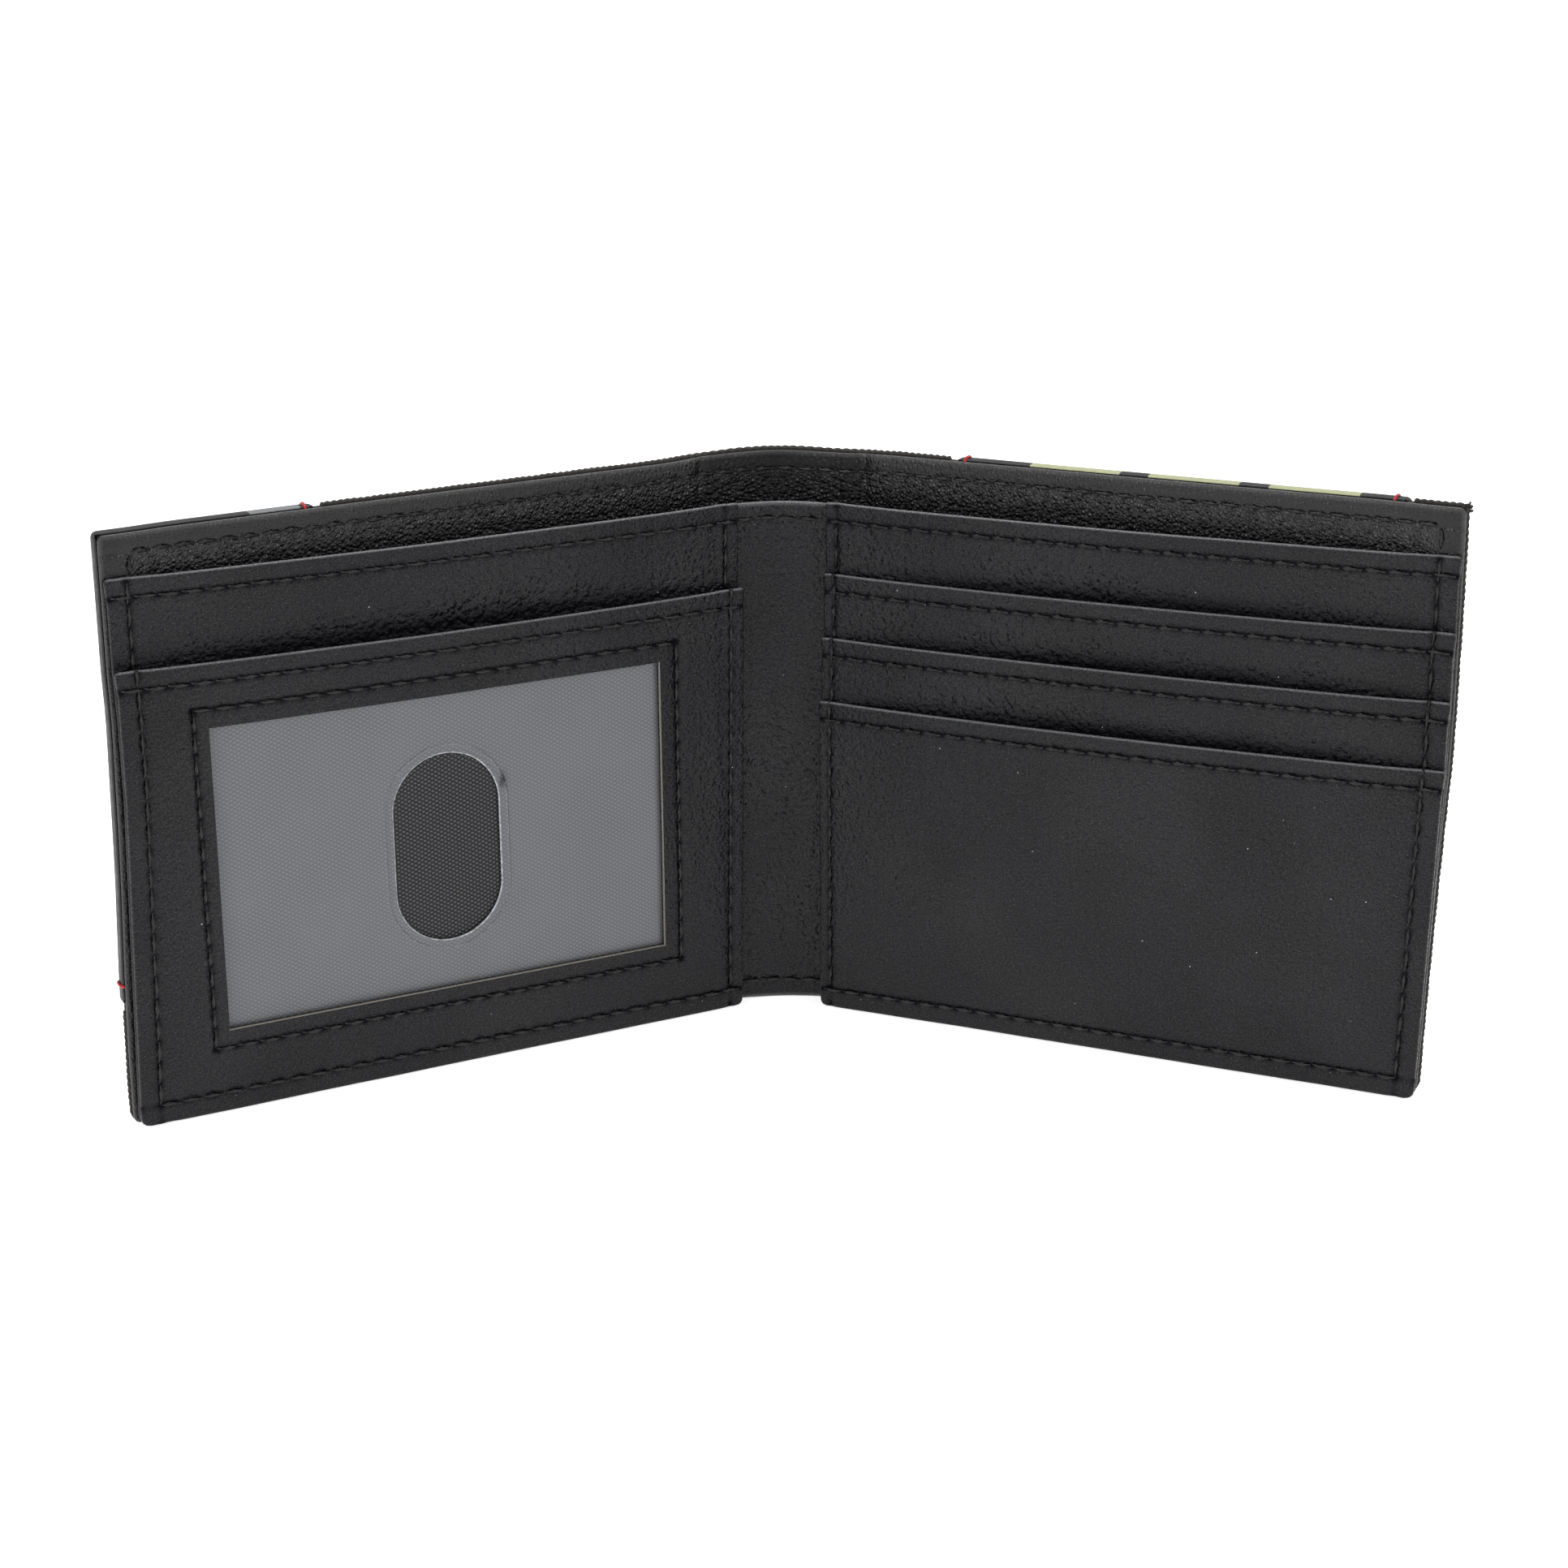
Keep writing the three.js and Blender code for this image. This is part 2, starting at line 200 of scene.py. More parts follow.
def lines_at_cuts(lines, cuts):
    """The grid lines, with three close ones at each cut."""
    close = [cut + offset for cut in cuts for offset in (-0.15, 0, 0.15)]
    spread = lines[np.min(np.abs(lines[:, None] - cuts), 1) > 0.3]
    return np.unique(np.round(np.append(spread, close), 5))


def slab_faces(rows, columns, hole=None, wrap=False):
    """Quads of a closed slab over a grid, whose front vertices come first and then as many back ones.
    hole is a mask of the cells that are cut out."""
    count = rows * columns
    index = np.arange(count).reshape(rows, columns)
    if wrap:
        index = np.column_stack([index, index[:, 0]])
    corners = [index[:-1, :-1], index[:-1, 1:], index[1:, 1:], index[1:, :-1]]
    front = np.stack(corners, -1).reshape(-1, 4)
    if hole is not None:
        front = front[~hole.ravel()]
    edges = np.concatenate([front[:, [i, (i + 1) % 4]] for i in range(4)])
    forward = edges[:, 0] * count + edges[:, 1]
    backward = edges[:, 1] * count + edges[:, 0]
    rim = edges[~np.isin(forward, backward)]
    walls = np.column_stack([rim[:, 1], rim[:, 0], rim[:, 0] + count, rim[:, 1] + count])
    return np.concatenate([front, front[:, ::-1] + count, walls])


def make_piece(name, points, faces, turned, look, uv, values):
    """A smooth-shaded object from points in millimetres. turned turns its faces round."""
    used, faces = np.unique(faces, return_inverse=True)
    faces = faces.reshape(-1, 4)
    if turned:
        faces = faces[:, ::-1]
    mesh = bpy.data.meshes.new(name)
    mesh.from_pydata((points[used] * MM).tolist(), [], faces.tolist())
    layer = mesh.uv_layers.new(name="cloth")
    layer.data.foreach_set("uv", uv[used][faces.ravel()].astype(np.float32).ravel())
    for key, value in values.items():
        attribute = mesh.attributes.new(key, "FLOAT", "POINT")
        attribute.data.foreach_set("value", value[used].astype(np.float32))
    mesh.polygons.foreach_set("use_smooth", np.ones(len(faces), bool))
    mesh.set_sharp_from_angle(angle=math.radians(50))
    mesh.materials.append(look)
    piece = bpy.data.objects.new(name, mesh)
    bpy.context.scene.collection.objects.link(piece)
    return piece


def slab(name, front, back, s, z, turned, look, slot, values={}, **shape):
    """A closed sheet between two grids of points, whose flat coordinates are (s, z). Each of the values
    is one grid for both faces, or a front and a back one."""
    points = np.concatenate([front.reshape(-1, 3), back.reshape(-1, 3)])
    uv = np.tile(np.stack([s, z], -1).reshape(-1, 2), (2, 1))
    pairs = {key: value if isinstance(value, tuple) else (value, value) for key, value in values.items()}
    values = {key: np.concatenate([np.ravel(face) for face in pair]) for key, pair in pairs.items()}
    return make_piece(name, points, slab_faces(*s.shape, **shape), turned, look, uv, values)


def tube_faces(rings, sides):
    """The quads round a tube, and its vertex numbers, ring by ring."""
    index = np.arange(rings * sides).reshape(rings, sides)
    following = np.roll(index, -1, axis=1)
    faces = np.stack([index[:-1], following[:-1], following[1:], index[1:]], -1)
    return faces.reshape(-1, 4), index


def bend_at_crease(piece, panel, end):
    """Bakes piece's transform into its mesh; it does not bend piece between the spine and the panel, and end
    has no effect.
    """
    [x * MM for x in end]
    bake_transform(piece)


def rounded(edge, radius):
    """How far a rim's surface falls away, edge millimetres in from its outline."""
    inward = np.clip(radius - edge, 0, radius)
    return radius - np.sqrt(np.maximum(radius**2 - inward**2, 0))


def round_corners(ss, zz, radii):
    """The grid's points with its outline's corners rounded, and each point's distance to the outline.
    radii are those of the corners at the foot, crease side then free side, and then at the top."""
    s, z = np.meshgrid(ss, zz)
    to_s = np.minimum(s - ss[0], ss[-1] - s)
    to_z = np.minimum(z - zz[0], zz[-1] - z)
    far_s = s > (ss[0] + ss[-1]) / 2
    far_z = z > (zz[0] + zz[-1]) / 2
    radius = np.choose(far_s * 1 + far_z * 2, radii)
    a, b = np.clip(radius - to_s, 0, None), np.clip(radius - to_z, 0, None)
    length = np.hypot(a, b)
    scale = np.where(length > 0, np.maximum(a, b) / np.maximum(length, 1e-9), 1)
    s = s + np.where(far_s, -1, 1) * a * (1 - scale)
    z = z + np.where(far_z, -1, 1) * b * (1 - scale)
    return s, z, np.minimum(to_s, to_z)


# Materials ----------------------------------------------------------------------------------------


# Light specks: dust, and painted glints.
DUST_AND_GLINT = (0.35, 0.35, 0.37)
DUST_AND_GLINT_SIZE = 0.06


class Look:
    """A Principled material, with short calls for its node chains. Heights are in millimetres."""

    def __init__(self, name, color, roughness, specular=0.5, **constants):
        self.material = bpy.data.materials.new(name)
        self.material.use_nodes = True
        self.tree = self.material.node_tree
        self.shader = self.tree.nodes["Principled BSDF"]
        self.shader.inputs["Base Color"].default_value = (*color, 1)
        self.shader.inputs["Roughness"].default_value = roughness
        self.shader.inputs["Specular IOR Level"].default_value = specular
        for key, value in constants.items():
            self.shader.inputs[key.replace("_", " ")].default_value = value
        self.cloth = self.node("UVMap", uv_map="cloth").outputs["UV"]

    def node(self, kind, inputs=None, **settings):
        made = self.tree.nodes.new("ShaderNode" + kind)
        for key, value in settings.items():
            setattr(made, key, value)
        for key, value in (inputs or {}).items():
            if isinstance(value, bpy.types.NodeSocket):
                self.tree.links.new(value, made.inputs[key])
            else:
                made.inputs[key].default_value = value
        return made

    def calc(self, operation, a, b=0.0, c=0.0):
        return self.node("Math", {0: a, 1: b, 2: c}, operation=operation).outputs[0]

    def stretch(self, x, y, turn=0.0):
        """The sheet's coordinates, scaled along s and z and turned."""
        inputs = {"Vector": self.cloth, "Scale": (x, y, 1), "Rotation": (0, 0, turn)}
        return self.node("Mapping", inputs).outputs[0]

    def noise(self, scale, detail=2.0, where=None):
        inputs = {"Vector": where or self.cloth, "Scale": scale, "Detail": detail}
        return self.node("TexNoise", inputs).outputs[0]

    def cells(self, scale, feature="F1", output="Distance"):
        inputs = {"Vector": self.cloth, "Scale": scale}
        return self.node("TexVoronoi", inputs, feature=feature).outputs[output]

    def attribute(self, name):
        return self.node("Attribute", attribute_name=name).outputs["Fac"]

    def blend(self, share, a, b):
        """Colour a where share is 0 and b where it is 1."""
        a, b = ((*color, 1) if isinstance(color, tuple) else color for color in (a, b))
        return self.node("Mix", {0: share, 6: a, 7: b}, data_type="RGBA").outputs[2]

    def remap(self, value, low, high, to_low=0.0, to_high=1.0):
        inputs = {"Value": value, "From Min": low, "From Max": high, "To Min": to_low, "To Max": to_high}
        return self.node("MapRange", inputs).outputs[0]

    def total(self, *terms):
        """The sum of (height, amount) pairs."""
        result = None
        for height, amount in terms:
            result = self.calc("MULTIPLY_ADD", height, amount, result if result is not None else 0.0)
        return result

    def bump(self, height):
        inputs = {"Height": height, "Strength": 1.0, "Distance": MM}
        self.tree.links.new(self.node("Bump", inputs).outputs[0], self.shader.inputs["Normal"])

    def paint(self, color):
        self.tree.links.new(color, self.shader.inputs["Base Color"])

    def rough(self, value):
        self.tree.links.new(value, self.shader.inputs["Roughness"])

    def shaded(self, level, mottle=1.0):
        """Specular level, lower where the "shade" attribute is high."""
        value = self.remap(self.attribute("shade"), 0, 1, level, level * 0.1)
        value = self.calc("MULTIPLY", value, mottle)
        self.tree.links.new(value, self.shader.inputs["Specular IOR Level"])

    def dust_and_glints(self, color, spacing=2.6):
        """color with tiny sparse light specks: dust, and painted glints."""
        near = self.cells(1 / spacing)
        luck = self.node("SeparateColor", {0: self.cells(1 / spacing, output="Color")}).outputs[0]
        reach = self.calc("MULTIPLY", self.calc("SUBTRACT", luck, 0.3), DUST_AND_GLINT_SIZE)
        return self.blend(self.calc("LESS_THAN", near, reach), color, DUST_AND_GLINT)


def smooth_leather():
    """Black satin leather: fine grain, faint upright wrinkles, rims lightened by wear and painted highlight,
    coarser grain where it bends.
    """
    look = Look("smooth leather", (0.005, 0.005, 0.006), 0.42, 0.28)
    bend = look.attribute("bend")
    rim = look.attribute("rim")
    grain = look.cells(2.3, "SMOOTH_F1")
    fine = look.noise(4.2, 3.0)
    wrinkles = look.noise(0.62, 3.0, look.stretch(1.0, 0.14))
    patches = look.remap(look.noise(0.04, 1.0), 0.42, 0.62)
    stretched = look.total((patches, 0.4), (bend, 1.0))
    pebble = look.calc("MULTIPLY", look.cells(1.25, "SMOOTH_F1"), stretched)
    look.bump(look.total((grain, -0.15), (fine, 0.09), (wrinkles, 0.08), (pebble, -0.42)))
    cloudy = look.remap(look.noise(0.06, 3.0), 0.35, 0.65)
    base = look.blend(cloudy, (0.0012, 0.0012, 0.002), (0.003, 0.003, 0.0044))
    # Lighter specks where the fine grain stands highest: painted glints.
    base = look.blend(look.remap(fine, 0.5, 0.72), base, (0.009, 0.009, 0.0115))
    # Lighter rims: wear, and painted highlight on the turned edges.
    wear_and_highlight = look.calc("MULTIPLY", rim, look.remap(fine, 0.3, 0.7, 0.35, 1.0))
    worn_and_lit = look.blend(wear_and_highlight, base, (0.17, 0.17, 0.178))
    raw = look.calc("GREATER_THAN", look.attribute("cut"), 0.45)
    look.paint(look.blend(raw, look.dust_and_glints(worn_and_lit), (0.2, 0.185, 0.155)))
    look.rough(look.remap(look.noise(1.3, 2.0), 0.3, 0.7, 0.24, 0.36))
    mottle = look.remap(look.noise(3.1, 2.0), 0.3, 0.7, 0.68, 1.3)
    glints = look.remap(look.noise(5.2, 1.5), 0.6, 0.72, 0.0, 2.0)
    level = look.calc("MULTIPLY", mottle, look.remap(patches, 0, 1, 0.86, 1.02))
    look.shaded(0.225, look.calc("ADD", level, glints))
    return look.material


def pebbled_leather():
    """The lining: deeply pebbled, glossier leather."""
    look = Look("pebbled leather", (0.005, 0.005, 0.0054), 0.36, 0.38)
    pebbles = look.cells(1.7, "SMOOTH_F1")
    valleys = look.remap(look.cells(1.7, "DISTANCE_TO_EDGE"), 0.0, 0.2)
    small = look.cells(3.4, "SMOOTH_F1")
    rim = look.attribute("rim")
    calm = look.remap(look.attribute("calm"), 0, 1, 1.0, 0.4)
    height = look.total((valleys, 0.05), (pebbles, -0.2), (small, -0.07))
    look.bump(look.calc("MULTIPLY", height, calm))
    # Lighter rims: wear, and painted highlight on the turned edge.
    worn_and_lit = look.blend(look.calc("MULTIPLY", rim, 0.7), (0.0022, 0.0022, 0.0028), (0.06, 0.06, 0.062))
    look.paint(look.dust_and_glints(worn_and_lit, 9.0))
    look.rough(look.remap(valleys, 0, 1, 0.4, 0.24))
    look.shaded(0.46, look.remap(look.attribute("calm"), 0, 1, 1.0, 0.66))
    return look.material


def woven_canvas():
    """Brownish black canvas of thick yarns, with painted shade in the gaps between them."""
    look = Look("black canvas", (0.012, 0.0105, 0.009), 0.9, 0.2, Sheen_Weight=0.15)
    u, v = woven_axes(look, look.stretch(1 / 1.05, 1 / 0.8))
    over = look.calc("MULTIPLY", look.calc("SINE", look.calc("MULTIPLY", u, math.pi)),
                     look.calc("SINE", look.calc("MULTIPLY", v, math.pi)))
    yarn = look.calc("ABSOLUTE", over)
    fuzz = look.noise(6.0, 3.0)
    look.bump(look.total((yarn, 0.16), (fuzz, 0.05)))
    # Darker in the gaps between yarns: painted shade.
    shaded_weave = look.blend(look.remap(yarn, 0, 1), (0.004, 0.0035, 0.003), (0.019, 0.0165, 0.0135))
    look.paint(look.blend(look.remap(look.noise(0.3, 2.0), 0.3, 0.7), shaded_weave, (0.011, 0.0098, 0.0088)))
    return look.material


def woven_axes(look, where):
    """The two coordinates of a place on the cloth."""
    parts = look.node("SeparateXYZ", {0: where})
    return parts.outputs[0], parts.outputs[1]


def nylon_floats(look):
    """1 on the short raised yarns of the nylon, which stand in staggered rows, and 0 between them."""
    u, v = woven_axes(look, look.stretch(2 * math.pi / 1.1, 2 * math.pi / 0.66))
    waves = look.calc("ADD", look.calc("COSINE", u), look.calc("COSINE", v))
    return look.calc("ABSOLUTE", look.calc("MULTIPLY", waves, 0.5))


def nylon():
    """Fine black nylon with short raised yarn floats, which are painted lighter: painted sheen."""
    look = Look("black nylon", (0.012, 0.012, 0.013), 0.5, 0.3)
    raised = nylon_floats(look)
    look.bump(look.calc("MULTIPLY", raised, 0.08))
    # Light on the raised floats: painted sheen.
    look.paint(look.blend(look.remap(raised, 0.48, 0.85), (0.002, 0.002, 0.0025), (0.07, 0.071, 0.078)))
    return look.material


def vinyl():
    """Cloudy clear sheet over the nylon, lighter round its thumb slot and along the bead: scuffs, and
    painted highlight.
    """
    look = Look("clear vinyl", (0.16, 0.165, 0.18), 0.34, 0.45, Alpha=0.78)
    rim = look.attribute("rim")
    # Lighter at the slot's rim and bead: scuffs, and painted highlight.
    scuff_and_highlight = look.calc("MULTIPLY", look.noise(1.4, 4.0), rim)
    haze = look.noise(0.1, 2.0)
    base = look.blend(look.remap(haze, 0.3, 0.7), (0.1, 0.102, 0.11), (0.111, 0.113, 0.122))
    # The nylon's floats, painted lighter where they show through: the nylon's painted sheen.
    seen = look.remap(nylon_floats(look), 0.3, 0.9, 0.0, 0.8)
    woven = look.blend(seen, base, (0.18, 0.183, 0.195))
    clear = look.blend(look.remap(scuff_and_highlight, 0.22, 0.6), woven, (0.6, 0.62, 0.66))
    look.paint(look.blend(look.attribute("dirt"), clear, (0.012, 0.012, 0.013)))
    look.rough(look.remap(look.noise(0.5, 2.0), 0.3, 0.7, 0.3, 0.4))
    look.bump(look.total((look.noise(0.12, 1.0), 0.05)))
    return look.material


def board():
    """Grey-brown pressed fibre."""
    look = Look("fibre board", (0.13, 0.12, 0.1), 0.95, 0.2)
    fibres = look.noise(1.5, 5.0)
    look.paint(look.blend(fibres, (0.1, 0.09, 0.075), (0.17, 0.155, 0.13)))
    look.bump(look.calc("MULTIPLY", fibres, 0.05))
    return look.material


def patch_look(name, ground, bands, band_color, band_foot):
    """Printed patch: smooth ground with plain bands at the given s ranges, from z = band_foot up."""
    look = Look(name, ground, 0.5, 0.35)
    s, z = woven_axes(look, look.cloth)
    share = 0.0
    for low, high in bands:
        within = look.calc("COMPARE", s, (low + high) / 2, (high - low) / 2)
        share = look.calc("MAXIMUM", within, share)
    share = look.calc("MULTIPLY", share, look.calc("GREATER_THAN", z, band_foot))
    fade = look.remap(look.noise(0.8, 4.0), 0.3, 0.7, 0.9, 1.0)
    look.paint(look.blend(look.calc("MULTIPLY", share, fade), ground, band_color))
    look.bump(look.total((look.noise(4.0, 3.0), 0.02), (share, 0.03)))
    look.rough(look.remap(look.noise(1.1, 3.0), 0.3, 0.7, 0.45, 0.58))
    return look.material


def thread_look(name, dark, light):
    """Twisted thread: fibres run along the ply."""
    look = Look(name, dark, 0.25, 0.35)
    fibres = look.noise(1.0, 3.0, look.stretch(4.0, 18.0, 0.6))
    look.paint(look.blend(look.remap(fibres, 0.35, 0.75), dark, light))
    look.bump(look.calc("MULTIPLY", fibres, 0.05))
    return look.material


LEATHER = smooth_leather()
PEBBLED = pebbled_leather()
CANVAS = woven_canvas()
NYLON = nylon()
VINYL = vinyl()
BOARD = board()
BLACK_THREAD = thread_look("black thread", (0.001, 0.001, 0.001), (0.007, 0.007, 0.007))
RED_THREAD = thread_look("red thread", (0.35, 0.006, 0.008), (0.6, 0.02, 0.02))


# Threads ------------------------------------------------------------------------------------------


def stitch_count(start, end):
    """How many stitches fit in a straight run."""
    return max(1, round(abs(end - start) / PITCH))


STITCH_GAP = 0.05  # on each side of a stitch, as a share of the pitch
STITCH_SINK = 0.36  # how deep a stitch's ends dive at most
STITCH_ARCH = 0.33  # how much higher its middle is


def stitch_row(path, normals, seed, count=None):
    """Centre lines of the stitches along a dense path on a surface: an array of stitches by rings by
    3, and the normals to match."""
    steps = np.linalg.norm(np.diff(path, axis=0), axis=1)
    length = np.append(0, np.cumsum(steps))
    count = count or stitch_count(0, length[-1])
    chance = np.random.default_rng(seed)
    t = np.linspace(0, 1, STITCH_RINGS)
    ends = np.linspace(0, length[-1], count + 1)
    ends[1:-1] += chance.uniform(-0.1, 0.1, count - 1)
    where = ends[:-1, None] + np.diff(ends)[:, None] * (STITCH_GAP + (1 - 2 * STITCH_GAP) * t)
    centre = np.stack([np.interp(where, length, path[:, i]) for i in range(3)], -1)
    normal = np.stack([np.interp(where, length, normals[:, i]) for i in range(3)], -1)
    tangent = np.gradient(centre, axis=1)
    sideways = np.cross(tangent, normal)
    sideways /= np.linalg.norm(sideways, axis=-1, keepdims=True)
    across = 2 * t - 1
    rise = chance.uniform(0.2, 0.27, (count, 1)) + STITCH_ARCH * (1 - np.abs(across) ** 3.5) - STITCH_SINK
    slant = chance.uniform(0.04, 0.1, (count, 1)) * across + chance.uniform(-0.05, 0.05, (count, 1))
    return centre + rise[..., None] * normal + slant[..., None] * sideways, normal


def thread_piece(name, rows, look=BLACK_THREAD, thickness=THREAD_RADIUS):
    """One mesh of twisted two-ply stitches from a list of stitch rows."""
    centre = np.concatenate([row[0] for row in rows])
    normal = np.concatenate([row[1] for row in rows])
    tangent = np.gradient(centre, axis=1)
    tangent /= np.linalg.norm(tangent, axis=-1, keepdims=True)
    normal = normal - (normal * tangent).sum(-1, keepdims=True) * tangent
    normal /= np.linalg.norm(normal, axis=-1, keepdims=True)
    sideways = np.cross(tangent, normal)
    angle = np.arange(STITCH_SIDES) * 2 * math.pi / STITCH_SIDES
    t = np.linspace(0, 1, STITCH_RINGS)
    lobes = 1 + 0.2 * np.cos(2 * (angle[None, :] - 4.2 * t[:, None]))
    radius = thickness * lobes * (0.72 + 0.28 * np.sin(math.pi * t))[:, None]
    out, across = radius * np.cos(angle), radius * np.sin(angle)
    points = centre[:, :, None] + out[..., None] * normal[:, :, None]
    points = points + across[..., None] * sideways[:, :, None]
    tube, one = tube_faces(STITCH_RINGS, STITCH_SIDES)
    cap = np.array([[3, 2, 1, 0], [7, 4, 3, 0], [7, 6, 5, 4]])
    faces = np.concatenate([tube, cap, cap[:, ::-1] + one[-1, 0]])
    offsets = np.arange(len(centre))[:, None, None] * one.size
    uv = np.zeros((len(centre), STITCH_RINGS, STITCH_SIDES, 2))
    uv[..., 0] = (np.arange(len(centre))[:, None, None] + t[:, None]) * PITCH
    uv[..., 1] = angle * THREAD_RADIUS
    faces = (faces + offsets).reshape(-1, 4)
    return make_piece(name, points.reshape(-1, 3), faces, False, look, uv.reshape(-1, 2), {})


# Flat-cut sheets of a panel -----------------------------------------------------------------------

HEM = 4.4  # how far a turned edge's inner layer reaches
HEM_RISE = 0.12
GROOVE = 0.13  # depth of the leather under a seam
PUCKER = 0.09  # more depth at each needle hole
FADE = 11.0  # how far below a pocket's mouth its bow and sag reach
DIP, DIP_REACH = 0.42, 3.2  # the leather gives way this much behind the mouth of the pocket in front
BACK_WEAR_AND_LIGHT = 0.2  # wear and painted highlight on a rim's back corner, as a share of its front one's
ROW_END = 0.5  # a level seam's end, in from the sheet's edge
CREASE_SEAM_DROP, EDGE_SEAM_DROP = 3.4, 0.6  # how far below the back sheet's top the side seams begin
CREASE_SEAM_RISE = 0.6  # how far above the foot's seam the one beside the crease ends
CREASE_SEAM_SHIFT = 0.35  # how far the left panel's crease seam stands from its CAD thread
LOOP_SHIFT = 1.1  # how far the window seam's free side stands from its CAD thread, towards the crease
HOLE_SHIFT = 0.6  # how much nearer to that seam the window's edge is there
EDGE_SHIFT = 0.25  # how far the left panel's crease edge stands from its CAD sheet
TOP_RADII = (0.5, 0.7)  # of a sheet's top corners, at the crease and at the free edge
NYLON_THICKNESS = 0.3


def phase(along, start, end):
    """How many stitches lie between the start of a straight run and a place along it."""
    return (along - start) / (end - start) * stitch_count(start, end)


def needle_hole_shade(across, stitches):
    """Painted shade: 1 in the needle holes of a seam, and a fainter line along the seam between them."""
    return ((1 + np.cos(2 * math.pi * stitches)) / 2) ** 2 * hump(across, 0.5) + 0.3 * hump(across, 0.5)


def seam_groove(across, stitches):
    """How deep a seam presses the leather in."""
    holes = (1 + np.cos(2 * math.pi * stitches)) / 2
    return GROOVE * hump(across, 0.55) + PUCKER * holes * hump(across, 0.95)


def loop_sides(s, z, s0, s1, z0, z1):
    """(distance across, stitches along) at the four sides of a closed seam: two upright, two level."""
    upright, level = phase(z, z0, z1), phase(s, s0, s1)
    return (s - s0, upright), (s - s1, upright), (z - z0, level), (z - z1, level)


# Below each pocket mouth, the room between the facing and the layers behind it, which the edge seams
# close: the height of the mouth's CAD node and the width of the room
ROOM = {
    LEFT: [("id_window_frame", 0.85)],
    RIGHT: [("slot_facing_1", 0.2), ("slot_facing_2", 0.65), ("slot_facing_3", 0.65)],
}
COVER_ROOM = 0.6  # the same room between the stack and the cover
FREE_SPREAD = 1.5  # how far the left panel's free border widens towards its foot
CREASE_SPREAD = 1.4  # and its crease border towards its top
PULL_REACH = 10.0  # how far in from the edge seams the layers are drawn together
PULL_START = 86.0  # s at which that begins


def pull_share(s, z):
    """1 at the seams round the free edge and the foot, 0 well inside them."""
    at_edge = smooth((s - PULL_START) / PULL_REACH)
    at_foot = smooth((PULL_REACH - z) / PULL_REACH + 0.2) * smooth((s - 6) / 24)
    return np.maximum(at_edge, at_foot)


def pull(panel, s, z):
    """How far a layer behind the pocket mouths is pulled forward."""
    total = 0.0
    for node, room in ROOM[panel]:
        mouth = panel.extent(node)[1][2]
        total = total + room * smooth((mouth + 1 - z) / 10)
    return total * pull_share(s, z)


